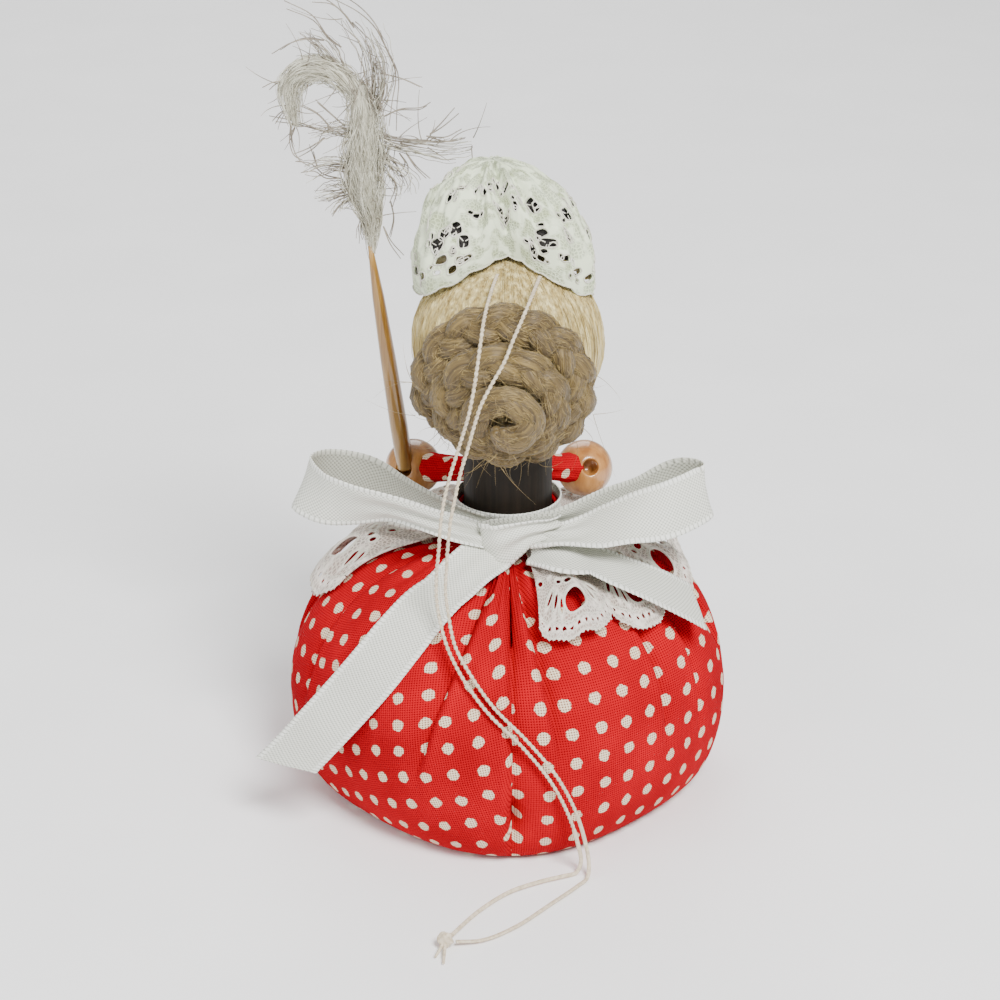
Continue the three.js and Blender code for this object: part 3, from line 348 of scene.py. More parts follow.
def skirt_flat(along, up, middle_along, middle_up):
    bearing, middle = SEAM + 360 * along, SEAM + 360 * middle_along
    row = round(up * (len(outline) - 1))
    radius, _ = outline[row]
    if middle_up * (len(outline) - 1) < len(flat_foot):
        return (radius * math.cos(math.radians(bearing)), radius * math.sin(math.radians(bearing)))
    side = math.radians(bearing) * SKIRT_RADIUS
    if row > belly_row:
        for (a, *_), (b, *_) in PANELS:
            if a <= middle <= b:
                centre = (a + b) / 2
                swing = gathered_bearing(bearing, row) - gathered_bearing(centre, row)
                side = math.radians(centre) * SKIRT_RADIUS + math.radians(swing) * radius
    turned_from = share_of((bearing - 340) / 60)
    skew = 60 * (turned_from ** 3 - turned_from ** 4 / 2) + max(0, bearing - 400)
    rise = height_along[row]
    weight = smooth(340, 400, bearing)
    return (side + 0.33 * weight * rise + 1.2, rise - 0.32 * math.radians(skew) * SKIRT_RADIUS + 2.1)


cotton = printed_cotton("red dotted cotton")
skirt = piece("skirt", cloth(360, len(outline) - 1, skirt_point, skirt_flat, joined=True), cotton)
thicken(skirt, 0.6)
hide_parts("skirt_bag")


# Fibre filling. Loose white polyester, stuffed into the bag round the post and the board, and not seen. It
# follows the bag's folds from the inside.
hollow = [(8.5, 44.5), (8.5, 5.6), (26.5, 5.6), (26.5, 2.4)]
stuffed_rows = [-1, -1, -1, -1] + list(range(len(flat_foot) - 1, neck_row, 3)) + [-1]


def filling_point(along, up):
    at = round(up * (len(stuffed_rows) - 1))
    if stuffed_rows[at] < 0:
        radius, height = hollow[at % (len(stuffed_rows) - 1)]
        return round_post(radius, math.radians(SEAM + 360 * along), height)
    return skirt_point(along, stuffed_rows[at] / (len(outline) - 1), 2.4)


stuffing, tree, place = material("polyester fibre filling")
tufts = mottle(tree, place, 2.5, 6.0)
finished(tree, {"Base Color": mix(tree, tufts, "#f4f2ec", "#dcd8cf"), "Roughness": 1.0,
                "Normal": relief(tree, tufts, 1.0)})
mesh = cloth(120, len(stuffed_rows) - 1, filling_point,
             lambda along, up, a, b: (along * 240, up * 80), joined=True)
bmesh.ops.recalc_face_normals(mesh, faces=mesh.faces[:])
filling = piece("fibre_stuffing", mesh, stuffing)
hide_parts("fibre_filling")


# Arms. A steel wire runs through the post and out into a sleeve of the same cotton on each side. The sleeve
# is a small tube, gathered at the shoulder, with a turned-in cuff over the hand.
SLEEVE_ROOT = 2.2
SLEEVE_CUFF = 2.9
HAND_RADIUS = 5.3
ARMS = {
    "left": (Vector((7.766, -7.067, 57.6)), Vector((17.656, -16.066, 54.191))),
    "right": (Vector((-6.999, -7.827, 57.6)), Vector((-14.411, -16.118, 53.965))),
}

# Drawn wire is a plain grey metal, its shine broken by dull patches
steel, tree, place = material("drawn steel wire")
dull = mottle(tree, place, 0.33)
finished(tree, {"Base Color": linear("#9a9c9f"), "Metallic": 1.0,
                "Roughness": between(tree, dull, 0, 1, 0.25, 0.5)})
for name in ("shoulder_wire", "arm_wire_left", "arm_wire_right"):
    set_finish(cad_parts[name], steel)

for side, (shoulder, hand) in ARMS.items():
    reach = (hand - shoulder).length
    cuff = reach - 0.72 * HAND_RADIUS
    tilt = (hand - shoulder).to_track_quat("X", "Z").to_matrix()
    sleeve_line = [(-SLEEVE_ROOT * math.cos(a), SLEEVE_ROOT * math.sin(a))
                   for a in (0.05, 0.3, 0.6, 0.9, 1.2, 1.5)]
    sleeve_line += [(cuff * s, SLEEVE_ROOT + (SLEEVE_CUFF - SLEEVE_ROOT) * s ** 1.6)
                    for s in (0.1, 0.25, 0.4, 0.55, 0.7, 0.85, 0.97)]
    turned_in = ((0.15, 0.25), (-0.2, 0.5), (-0.8, 0.6))
    sleeve_line += [(cuff + out, SLEEVE_CUFF - less) for out, less in turned_in]

    def sleeve_point(around, up):
        reached, radius = sleeve_line[round(up * (len(sleeve_line) - 1))]
        turn = 2 * math.pi * around
        radius += 0.2 * math.sin(7 * turn) * smooth(-SLEEVE_ROOT, 0, reached) * (1 - 0.6 * reached / cuff)
        return shoulder + tilt @ Vector((reached, radius * math.cos(turn), radius * math.sin(turn)))

    def sleeve_flat(around, up, middle_around, middle_up):
        return (around * 16.2 + 2.0, sleeve_line[round(up * (len(sleeve_line) - 1))][0] * 1.1 + 1.4)

    mesh = cloth(56, len(sleeve_line) - 1, sleeve_point, sleeve_flat, True)
    sleeve = piece("cotton_sleeve_" + side, mesh, cotton, side + "_arm")
    thicken(sleeve, 0.25)
    smoother = sleeve.modifiers.new("smooth", "SUBSURF")
    smoother.levels = smoother.render_levels = 1
    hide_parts("sleeve_" + side)


# Hands. Turned birch beads under a thick clear varnish, so the grain is soft and the shine is sharp. The
# right one's hole faces backwards and ends on the arm's wire. The left one's is closed by the duster's stick.
BORE_RADIUS = 1.45
BORE_WAY = {"left": Vector((0.335, 0.893, 0.298)), "right": Vector((-0.2, 0.89, 0.4))}


def varnished_birch(name, pale, deep, way):
    """Varnish gives a sharp highlight over a warm, soft grain. way is the grain's run in mm by axis."""
    made, tree, place = material(name)
    fine = mottle(tree, place, tuple(w / 3 for w in way), 4.0)
    grain = maths(tree, "ADD", mottle(tree, place, way, 5.0), fine)
    share = between(tree, grain, 0.4, 1.6)
    finished(tree, {"Base Color": mix(tree, share, pale, deep), "Roughness": 0.3,
                    "Normal": relief(tree, share, 0.02), "Coat Weight": 0.8, "Coat Roughness": 0.06})
    return made


birch = varnished_birch("varnished birch", "#bd8648", "#935c24", (3.0, 3.0, 14.0))
falls = [math.radians(fall) for fall in range(159, 20, -3)]
half = [(HAND_RADIUS * math.sin(fall), HAND_RADIUS * math.cos(fall)) for fall in falls]
rim = [(1.66, 4.99), (1.52, 4.87), (BORE_RADIUS, 4.6), (BORE_RADIUS, 1), (0, 1)]
bead_profile = [(r, -z) for r, z in reversed(rim)] + half + rim
for side, (shoulder, hand) in ARMS.items():
    mesh = turned(bead_profile, 72)
    mesh.transform(Matrix.Translation(hand) @ BORE_WAY[side].to_track_quat("Z", "Y").to_matrix().to_4x4())
    bead = piece("wooden_hand_" + side, mesh, birch, side + "_arm")
    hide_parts("hand_bead_" + side)


# Head. A turned birch ball, varnished, glued on the post's tenon. Its face is painted with two dark eyes,
# each with a small white painted highlight, a small mouth and pale red cheeks.
HEAD_RADIUS = 15.4
HEAD_CENTRE = Vector((0, 0, 85.7))


def on_ball(radius, bearing, fall):
    """A point on a ball round the head's middle, by its bearing and angle from the top, in degrees."""
    turn, down = math.radians(bearing), math.radians(fall)
    return HEAD_CENTRE + radius * round_post(math.sin(down), turn, math.cos(down))


skin, tree, place = material("painted varnished birch")
colour = mix(tree, mottle(tree, place, (3, 3, 14), 5.0), "#d6ab74", "#b98449")
# Painted spots: bearing from the front and height in degrees, radius in mm, softness in mm, colour
SPOTS = [
    (-27, -16, 3.0, 2.2, "#cf6a52"), (27, -16, 3.0, 2.2, "#cf6a52"),
    (-15, 2, 1.25, 0.12, "#241a16"), (15, 2, 1.25, 0.12, "#241a16"),
    # Painted highlights: a small white glint in each eye.
    (-14, 4.3, 0.36, 0.1, "#f4efe6"), (16, 4.3, 0.36, 0.1, "#f4efe6"),
]
SPOTS += [(aside, -22 + 0.05 * aside ** 2, 0.46, 0.1, "#a8352f") for aside in (-7, -4.2, -1.4, 1.4, 4.2, 7)]
for aside, height, radius, softness, code in SPOTS:
    spot = on_ball(HEAD_RADIUS, aside - 90, 90 - height) * MM
    away = node(tree, "ShaderNodeVectorMath", {"operation": "DISTANCE"}, {0: place, 1: spot}).outputs["Value"]
    paint = between(tree, away, (radius - softness) * MM, (radius + softness) * MM, 1.0, 0.0)
    colour = mix(tree, paint, colour, code)
finished(tree, {"Base Color": colour, "Roughness": 0.32, "Coat Weight": 0.6, "Coat Roughness": 0.08})

mesh = bmesh.new()
bmesh.ops.create_uvsphere(mesh, u_segments=96, v_segments=64, radius=HEAD_RADIUS)
mesh.transform(Matrix.Translation(HEAD_CENTRE))
head = piece("head", mesh, skin)
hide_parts("head_ball")


# Hair. Combed flax glued down the back of the ball from ear to ear: a thin bed, and on it loose strands of
# straw-coloured fibre that shine a little along their length.
HAIR_THICKNESS = 1.1


def fibres(name, strands, finish, body="doll", corners=0):
    """Thin round strands in one curve object, each a list of (point, radius) in mm."""
    data = bpy.data.curves.new(name, "CURVE")
    data.dimensions = "3D"
    data.bevel_depth = MM
    data.bevel_resolution = corners
    data.use_fill_caps = True
    for strand in strands:
        line = data.splines.new("POLY")
        line.points.add(len(strand) - 1)
        for point, (spot, radius) in zip(line.points, strand):
            point.co = (*(Vector(spot) * MM), 1)
            point.radius = radius
    data.materials.append(finish)
    return placed(name, data, body)


def fibrous(name, pale, mid, dark, run, on_cloth=False):
    """Neighbouring fibres are lighter and darker, with a soft shine along them. run is how long one tone
    lasts along each axis, in mm, and on_cloth takes the axes from the piece's own flat map."""
    made, tree, place = material(name)
    if on_cloth:
        place = on_flat_cloth(tree)
    streak = mottle(tree, place, run)
    broad = maths(tree, "POWER", mottle(tree, place, tuple(2.3 * r for r in run)), 2.0)
    colour = mix(tree, broad, mix(tree, streak, dark, mid), pale)
    finished(tree, {"Base Color": colour, "Roughness": 0.5, "Sheen Weight": 0.15,
                    "Normal": relief(tree, streak, 0.15)})
    return made


def hair_rise(bearing):
    """How full the hair is: nothing at its front edges, and 1 a little behind them."""
    return smooth(-15, 8, bearing) * smooth(195, 172, bearing)


def bed_point(along, up):
    bearing = -14 + 208 * along
    return on_ball(HEAD_RADIUS - 0.6 + 1.45 * hair_rise(bearing), bearing, 12 + 140 * up)


flax = fibrous("combed flax", "#ecdca0", "#c2a962", "#745e2c", (0.35, 0.35, 9.0))
mesh = cloth(80, 56, bed_point, lambda along, up, a, b: (along * 60, up * 37))
bmesh.ops.reverse_faces(mesh, faces=mesh.faces[:])
bed = piece("flax_bed", mesh, flax)
thicken(bed, 0.8, 1)
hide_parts("hair_layer")

chance = random.Random(11)
strands = []
for i in range(1200):
    bearing = chance.uniform(-15, 195)
    start, end = chance.uniform(14, 34), chance.uniform(112, 150)
    lift = chance.uniform(-0.1, 0.5)
    sway, phase = chance.uniform(0.3, 2.2), chance.uniform(0, 6)
    size = chance.uniform(0.05, 0.13)
    strand = []
    for j in range(13):
        ripple = 0.14 * math.sin(phase + 0.9 * j)
        out = HEAD_RADIUS + 0.1 + (HAIR_THICKNESS + lift) * hair_rise(bearing) + ripple
        spot = on_ball(out, bearing + sway * math.sin(phase + 0.32 * j), start + (end - start) * j / 12)
        strand.append((spot, size * (1 - 0.5 * (j / 12) ** 4)))
    strands.append(strand)
combed = fibres("flax_strands", strands, flax)


# Bun. One three-strand plait of the same flax, wound in a flat spiral over the nape and sewn down, with stray
# fibres standing off it.
BUN_RADIUS = 14.0
BUN_EYE = 1.6
BUN_TURNS = 3.1
BUN_STEPS = 260
PLAIT_PITCH = 17.0
PLAIT_SWAY = 1.8
PLAIT_LIFT = 0.95
STRAND_WIDTH = 1.9
STRAND_DEPTH = 1.5


def bun_point(share):
    """The middle of the plait, from where it leaves the hair to the eye of the spiral."""
    turn = share * BUN_TURNS * 2 * math.pi - 0.2 * math.pi
    inward = share ** 1.1
    radius = BUN_RADIUS + (BUN_EYE - BUN_RADIUS) * inward
    drop = 3.1 + 3.4 * min(1, 1.3 * inward)
    x = radius * math.cos(turn)
    z = radius * math.sin(turn) * (1 - 0.1 * inward) - drop
    over_post = 11.5 if abs(x) < 10.9 else 0
    on_hair = math.sqrt(max(19.9 ** 2 - x * x - z * z, 0))
    return HEAD_CENTRE + Vector((x, max(on_hair, over_post) + 8 * share ** 1.3, z))


def evenly(points, count):
    """count + 1 points, evenly spaced along a polyline."""
    lengths = [0.0]
    for a, b in zip(points, points[1:]):
        lengths.append(lengths[-1] + (b - a).length)
    spaced, at = [], 0
    for i in range(count + 1):
        goal = lengths[-1] * i / count
        while at < len(points) - 2 and lengths[at + 1] < goal:
            at += 1
        gap = lengths[at + 1] - lengths[at]
        spaced.append(points[at].lerp(points[at + 1], (goal - lengths[at]) / gap if gap else 0))
    return spaced


def smoothed(points, rounds):
    """The same points, each moved to the mean of its neighbours a few times."""
    for _ in range(rounds):
        inner = [(a + 2 * b + c) / 4 for a, b, c in zip(points, points[1:], points[2:])]
        points = [points[0]] + inner + [points[-1]]
    return points


def heading(points, i):
    """The way along a line at one of its points."""
    return (points[min(i + 1, len(points) - 1)] - points[max(i - 1, 0)]).normalized()


def square_to(way, along):
    """A way turned square to another, in their common plane."""
    return (way - along * way.dot(along)).normalized()


def frames(points, out_from):
    """At each point the way along, the way out from a centre and the way across."""
    found = []
    for i, point in enumerate(points):
        along = heading(points, i)
        out = square_to(point - out_from, along)
        found.append((along, out, along.cross(out)))
    return found


def ropes(lines, sides=14, spiral=0.5):
    """Oval ropes along lines of (middle, half width, half depth), with a flat map round and along each rope
    that turns by spiral mm for each mm along."""
    mesh = bmesh.new()
    sheet = mesh.loops.layers.uv.new("cloth")
    for line in lines:
        rings = []
        reached = 0.0
        for i, (middle, wide, deep) in enumerate(line):
            reached += (middle - line[max(i - 1, 0)][0]).length
            turns = [2 * math.pi * j / sides - math.pi / 2 for j in range(sides)]
            ring = [mesh.verts.new(middle + wide * math.cos(t) + deep * math.sin(t)) for t in turns]
            rings.append((ring, reached, 2 * math.pi * max(wide.length, deep.length) / sides))
        for (low, below, step), (high, above, _) in zip(rings, rings[1:]):
            for j in range(sides):
                face = mesh.faces.new((low[j], low[(j + 1) % sides], high[(j + 1) % sides], high[j]))
                flat = [(j, below), (j + 1, below), (j + 1, above), (j, above)]
                for loop, (around, along) in zip(face.loops, flat):
                    loop[sheet].uv = ((around * step + spiral * along) * MM, along * MM)
        mesh.faces.new(rings[0][0][::-1])
        mesh.faces.new(rings[-1][0])
    bmesh.ops.recalc_face_normals(mesh, faces=mesh.faces[:])
    return mesh


bun_heart = HEAD_CENTRE + Vector((0, -6, -5))
bun_line = smoothed(evenly([bun_point(i / 600) for i in range(601)], BUN_STEPS), 4)
bun_length = sum((b - a).length for a, b in zip(bun_line, bun_line[1:]))
bun_frames = frames(bun_line, bun_heart)
chance = random.Random(23)
cores, hairs = [], []
for k in range(3):
    middle = []
    for i, point in enumerate(bun_line):
        phase = 2 * math.pi * (bun_length * i / BUN_STEPS / PLAIT_PITCH + k / 3)
        along, out, across = bun_frames[i]
        loose = 1 - 0.55 * smooth(0.55, 0.8, i / BUN_STEPS)
        drift = 0.35 * noise.noise(point / 3)
        middle.append(point + across * (PLAIT_SWAY * loose * math.sin(phase) + drift)
                      + out * (PLAIT_LIFT * loose * math.sin(2 * phase) + drift))
    ways = frames(middle, bun_heart)
    ends = [min(1, 0.35 + 0.09 * min(i, BUN_STEPS - i)) for i in range(BUN_STEPS + 1)]
    cores.append([(p, across * STRAND_WIDTH * e, out * STRAND_DEPTH * e)
                  for p, e, (along, out, across) in zip(middle, ends, ways)])
    for j in range(64):
        angle, size = 2 * math.pi * j / 64, chance.uniform(0.03, 0.075)
        twist, depth = chance.uniform(0.01, 0.05), chance.uniform(0.98, 1.09)
        first = chance.randrange(0, 40)
        hair = []
        for i in range(first, BUN_STEPS + 1 - chance.randrange(0, 30), 3):
            along, out, across = ways[i]
            turn = angle + twist * i + 0.3 * math.sin(0.13 * i + 7 * angle)
            wide, deep = across * STRAND_WIDTH * math.cos(turn), out * STRAND_DEPTH * math.sin(turn)
            hair.append((middle[i] + ends[i] * depth * (wide + deep), size))
        hairs.append(hair)
plaited = fibrous("plaited flax", "#806a38", "#5f4b24", "#30240e", (0.28, 7.0, 1.0), on_cloth=True)
loose_flax = fibrous("loose flax", "#a99159", "#7d683a", "#443517", (0.7, 0.7, 0.7))
bun = piece("plaited_bun", ropes(cores, 16, 0.35), plaited)
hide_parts("hair_bun")
fibres("bun_fibres", hairs, loose_flax)

stray = []
for i in range(240):
    at = chance.randrange(BUN_STEPS + 1)
    along, out, across = bun_frames[at]
    spot = bun_line[at] + out * 2.2 + across * chance.uniform(-2.8, 2.8)
    way = out * chance.uniform(0.2, 0.9) + along * chance.uniform(-1, 1) + across * chance.uniform(-1, 1)
    bend = Vector((chance.uniform(-1, 1), chance.uniform(-1, 1), chance.uniform(-1, 0.3)))
    reach = chance.uniform(2.5, 8)
    fall = bend * reach * 0.6 - out * 2.4
    stray.append([(spot + way.normalized() * reach * s + fall * s * s, 0.05 * (1.15 - s))
                  for s in [j / 8 for j in range(9)]])
for i in range(45):
    turn = math.radians(chance.uniform(40, 150))
    spot = round_post(8.8, turn, chance.uniform(69, 73))
    sway = Vector((chance.uniform(-2.4, 2.4), chance.uniform(-0.8, 1.2), chance.uniform(0, 1.4)))
    drop = Vector((0, 0, -chance.uniform(0.8, 2.2)))
    stray.append([(spot + drop * s + sway * s * s, 0.025) for s in (0, 0.3, 0.6, 1)])
fibres("stray_flax", stray, loose_flax)


# Crown pad. A wad of black felt between the head and the cap. It isn't seen whole: it holds the cap puffed
# out, and shows as black in the openings of the lace.
CAP_HEIGHT = 32.0
CAP_LEAN = 2.5
CAP_RIM = 15.4
CAP_GATHER = 6.0
CAP_SEAT = 17.7
PAD_SEAT = 17.2


def cap_point(along, up, lift=0.0):
    """The cap by its share round the head from the left ear, and from the rim to the crown."""
    turn = 2 * math.pi * along
    way = round_post(1, turn, 0)
    at_back = max(way.y, 0) ** 3
    radius = CAP_RIM + (CAP_GATHER - CAP_RIM) * at_back
    rim = way * radius + Vector((0, 0, math.sqrt(max(CAP_SEAT ** 2 - radius ** 2, 0)) + 0.3))
    crown = Vector((CAP_LEAN, -2.5, CAP_HEIGHT))
    span = CAP_HEIGHT - rim.z
    swell = way * (radius + 0.12 * span) + Vector((0, 0, rim.z + 0.55 * span))
    spot = bezier(rim, swell, way * 9 + crown, crown, up)
    rest = 1 - up
    pleat = 0.4 * rest * (1 - at_back) * (1 + math.cos(13 * turn))
    folds = 1.3 * smooth(0.1, 0.9, at_back) * rest * up * 4 * math.sin(11 * turn)
    flare = 0.3 * (1 - smooth(0, 0.16, up)) * (1 - 0.7 * at_back) - 1.3 * max(-way.x, 0) * rest
    grid = way * 5 + Vector((0, 0, 5 * up))
    creases = 0.9 * noise.noise(grid) + 0.5 * noise.noise(grid * 2.3)
    crumple = creases * smooth(0.02, 0.2, up) * smooth(1, 0.75, up)
    out = (spot - Vector((0, 0, 8))).normalized()
    return HEAD_CENTRE + spot + out * (pleat + folds + flare + crumple + lift)


def pad_point(along, up):
    if up == 0:
        return HEAD_CENTRE + Vector((0, 0, PAD_SEAT))
    inside = cap_point(along, 0.2 + 0.8 * up) - HEAD_CENTRE
    return HEAD_CENTRE + inside.normalized() * max(PAD_SEAT, inside.length - 1.5)


felt, tree, place = material("black felt")
nap = mottle(tree, place, 0.6, 6.0)
finished(tree, {"Base Color": mix(tree, nap, "#1d1a19", "#3a3634"), "Roughness": 1.0,
                "Normal": relief(tree, nap, 0.3), "Sheen Weight": 0.2})
mesh = cloth(90, 24, pad_point, lambda along, up, a, b: (along * 90, up * 30), joined=True)
bmesh.ops.recalc_face_normals(mesh, faces=mesh.faces[:])
pad = piece("felt_wad", mesh, felt)
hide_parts("crown_pad")


# Cap. A piece of cotton lace drawn up over the head and gathered with a few stitches at the back. It is stiff
# enough to stand puffed, its edge is scalloped, and the pad shows through the openings of the pattern.
CAP_FLAT = (104.0, 34.0)
CAP_CORNERS = 3.2
PULLED_OPEN = 1.4


def lace(columns, rows, size, solid_at, place):
    """A grid of lace, of that flat size in mm. solid_at is how far inside the threads a flat point is, in mm,
    and below zero in an opening. Openings are cut out and their edges drawn on to the pattern's line."""
    mesh = bmesh.new()
    bmesh.ops.create_grid(mesh, x_segments=columns, y_segments=rows, size=0.5)
    sheet = mesh.loops.layers.uv.new("cloth")
    cord = mesh.verts.layers.float.new("cordonnet")
    flat = {v: Vector(((v.co.x + 0.5) * size[0], (v.co.y + 0.5) * size[1])) for v in mesh.verts}
    inside = {v: solid_at(*flat[v]) for v in mesh.verts}
    cut = [f for f in mesh.faces if sum(inside[v] for v in f.verts) < 0]
    bmesh.ops.delete(mesh, geom=cut, context="FACES")
    cell = min(size[0] / columns, size[1] / rows)
    for vert in mesh.verts:
        spot = flat[vert]
        if vert.is_boundary and abs(inside[vert]) < cell:
            across = (solid_at(spot.x + 0.05, spot.y) - solid_at(spot.x - 0.05, spot.y)) / 0.1
            upward = (solid_at(spot.x, spot.y + 0.05) - solid_at(spot.x, spot.y - 0.05)) / 0.1
            steep = max(across * across + upward * upward, 0.3)
            spot -= Vector((across, upward)) * inside[vert] / steep
        vert[cord] = 1 - smooth(0.15, 0.6, inside[vert])
    for face in mesh.faces:
        for loop in face.loops:
            loop[sheet].uv = flat[loop.vert] * MM
    for vert in mesh.verts:
        vert.co = place(share_of(flat[vert].x / size[0]), share_of(flat[vert].y / size[1]))
    return mesh


def outside(x, y, opening, power=2):
    """How far a flat point is outside an opening, in mm: its middle, half sizes and turn in degrees. It is
    oval at power 2, and has rounded corners above that."""
    middle_x, middle_y, half_x, half_y, turn = opening
    c, s = math.cos(math.radians(turn)), math.sin(math.radians(turn))
    right, up = (x - middle_x) * c + (y - middle_y) * s, (y - middle_y) * c - (x - middle_x) * s
    away = (abs(right / half_x) ** power + abs(up / half_y) ** power) ** (1 / power)
    return (away - 1) * min(half_x, half_y)


def oval(opening, grow, start=0.0, end=360.0, count=20, power=2):
    """Flat points round an opening, that much larger than it."""
    middle_x, middle_y, half_x, half_y, turn = opening
    c, s = math.cos(math.radians(turn)), math.sin(math.radians(turn))
    points = []
    for i in range(count + 1):
        angle = math.radians(start + (end - start) * i / count)
        away = (abs(math.cos(angle)) ** power + abs(math.sin(angle)) ** power) ** (-1 / power)
        right, up = (half_x + grow) * away * math.cos(angle), (half_y + grow) * away * math.sin(angle)
        points.append((middle_x + right * c - up * s, middle_y + right * s + up * c))
    return points


def web(opening, count):
    """Threads across an opening that meet a little off its middle."""
    rim = oval(opening, 0.1, 20, 380, count)[:-1]
    return [[spot, ((spot[0] + 3 * opening[0]) / 4, (spot[1] + 3 * opening[1]) / 4)] for spot in rim]


def laid(lines, size, place, radius, lift=0.1):
    """Flat lines as round threads laid on the lace."""
    shares = [[(share_of(x / size[0]), share_of(y / size[1])) for x, y in line] for line in lines]
    return [[(place(along, up, lift), radius) for along, up in line] for line in shares]


def cotton_lace(name, pale, deep, openness, worked):
    """Machine lace: a net ground that lets some of what lies under it show, closer worked motifs, and corded
    lines round its openings. The higher worked is, the less is motif. The net is a little coarse, to show."""
    made, tree, _ = material(name)
    flat = on_flat_cloth(tree)
    corded = node(tree, "ShaderNodeAttribute", {"attribute_name": "cordonnet"}).outputs["Fac"]
    net = node(tree, "ShaderNodeTexVoronoi", {"voronoi_dimensions": "2D", "feature": "DISTANCE_TO_EDGE"},
               {"Vector": flat, "Scale": 1400.0, "Randomness": 0.7}).outputs["Distance"]
    motif = between(tree, mottle(tree, flat, 3.6, 2.0), worked, worked + 0.25)
    mesh_lines = between(tree, net, 0.05, 0.28, 1.0, 0.0)
    body = maths(tree, "MAXIMUM", maths(tree, "MAXIMUM", mesh_lines, corded), motif)
    ground = mix(tree, mottle(tree, flat, 6), pale, deep)
    colour = mix(tree, maths(tree, "MAXIMUM", corded, motif), ground, pale)
    finished(tree, {"Base Color": colour, "Roughness": 0.85, "Sheen Weight": 0.1,
                    "Alpha": between(tree, body, 0, 1, 1 - openness, 1.0),
                    "Normal": relief(tree, body, 0.1)})
    return made


# Openings of the cap's pattern: share round in degrees, share up, half sizes in mm, turn in degrees
CAP_OPENINGS = [
    (3, 0.77, 0.95, 0.85, 0), (345, 0.66, 0.35, 0.7, 30), (337, 0.60, 0.3, 0.6, -20),
    (41, 0.60, 1.2, 0.5, 35), (34, 0.55, 0.5, 0.9, 20), (89, 0.67, 0.5, 0.9, 15),
    (71, 0.53, 0.4, 0.9, 40), (86, 0.43, 0.8, 0.75, 0), (93, 0.36, 0.75, 0.65, 0),
    (113, 0.57, 0.4, 0.6, 20), (112, 0.48, 0.6, 0.35, 0), (127, 0.52, 0.8, 1.2, 20),
    (46, 0.33, 0.75, 1.0, 10), (51, 0.24, 0.6, 1.1, 0), (38, 0.32, 0.85, 0.8, 0),
    (33, 0.26, 0.95, 1.0, 15), (36, 0.17, 0.9, 0.5, 0), (51, 0.12, 0.9, 0.45, 20),
    (43, 0.09, 0.6, 0.5, 0), (126, 0.30, 0.7, 0.6, 30), (129, 0.24, 1.1, 0.6, 0),
    (118, 0.15, 0.7, 0.9, 0), (124, 0.13, 0.7, 0.6, 0), (140, 0.17, 0.8, 0.35, 30),
    (146, 0.32, 0.6, 0.8, 20), (150, 0.13, 1.0, 0.4, 30), (160, 0.1, 0.8, 0.4, 20),
    (22, 0.1, 0.8, 0.45, 0), (10, 0.12, 0.9, 0.5, 10), (60, 0.62, 0.7, 0.5, 10), (78, 0.6, 0.5, 0.8, -20),
    (100, 0.6, 0.8, 0.5, 15), (105, 0.42, 0.5, 0.7, 10), (60, 0.42, 0.6, 0.5, -30),
    (20, 0.38, 0.7, 0.9, 20), (156, 0.46, 0.7, 0.9, 0),
]
seen_from_behind = list(CAP_OPENINGS)
chance = random.Random(5)
for bearing in range(172, 360, 12):
    for up, wide, high in ((0.12, 0.9, 0.5), (0.3, 0.7, 0.9), (0.52, 0.9, 0.6)):
        CAP_OPENINGS.append((bearing + chance.uniform(-3, 3), up + chance.uniform(-0.04, 0.04), wide, high,
                             chance.uniform(-40, 40)))
for bearing, up, *_ in seen_from_behind * 2:
    CAP_OPENINGS.append((bearing + chance.uniform(-9, 9), up + chance.uniform(-0.07, 0.07),
                         chance.uniform(0.2, 0.4), chance.uniform(0.2, 0.45), chance.uniform(-40, 40)))
cap_holes = [(bearing / 360 * CAP_FLAT[0], up * CAP_FLAT[1], PULLED_OPEN * wide, PULLED_OPEN * high, turn)
             for bearing, up, wide, high, turn in CAP_OPENINGS]


def cap_edge(x):
    return 0.55 - 0.5 * abs(math.sin(math.pi * x / 5.2)) - 0.12 * abs(math.sin(math.pi * x / 0.9))


def cap_solid(x, y):
    near = [hole for hole in cap_holes if abs(hole[1] - y) < 3]
    return min([y - cap_edge(x)] + [outside(x, y, hole, CAP_CORNERS) for hole in near])


cap_lace = cotton_lace("greenish cotton lace", "#dbe4c6", "#b7c296", 0.4, 0.35)
mesh = lace(360, 110, CAP_FLAT, cap_solid, cap_point)
bmesh.ops.remove_doubles(mesh, verts=mesh.verts[:], dist=1e-3)
cap = piece("lace_mob_cap", mesh, cap_lace)
thicken(cap, 0.3)
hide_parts("lace_cap")

outlined = [oval(hole, 0.1, power=CAP_CORNERS) for hole in cap_holes]
hem = [(x / 4, cap_edge(x / 4) + 0.15) for x in range(round(CAP_FLAT[0]) * 4 + 1)]
webs = [line for hole in cap_holes if hole[2] * hole[3] > 0.9 for line in web(hole, 3)]
cap_threads = laid(outlined + [hem], CAP_FLAT, cap_point, 0.12) + laid(webs, CAP_FLAT, cap_point, 0.1, 0)
lace_thread = fibrous("lace thread", "#e4e2d6", "#d6d3c4", "#b9b5a4", (1.0, 1.0, 1.0))
fibres("cap_threads", cap_threads, lace_thread)


# Collar. A strip of lace, gathered on a thread round the neck and lying on the skirt in soft ruffles. Its
# ends don't meet at the back, where the bow is tied.
COLLAR_FLAT = (200.0, 25.0)
COLLAR_REPEAT = 20.0
COLLAR_START = 99.0
COLLAR_END = 374.0
# Bearings where the right tail and the hands press the ruffles flat, and their half angles in radians
COLLAR_PRESSED = [(152, 0.42), (228, 0.3), (317, 0.4)]


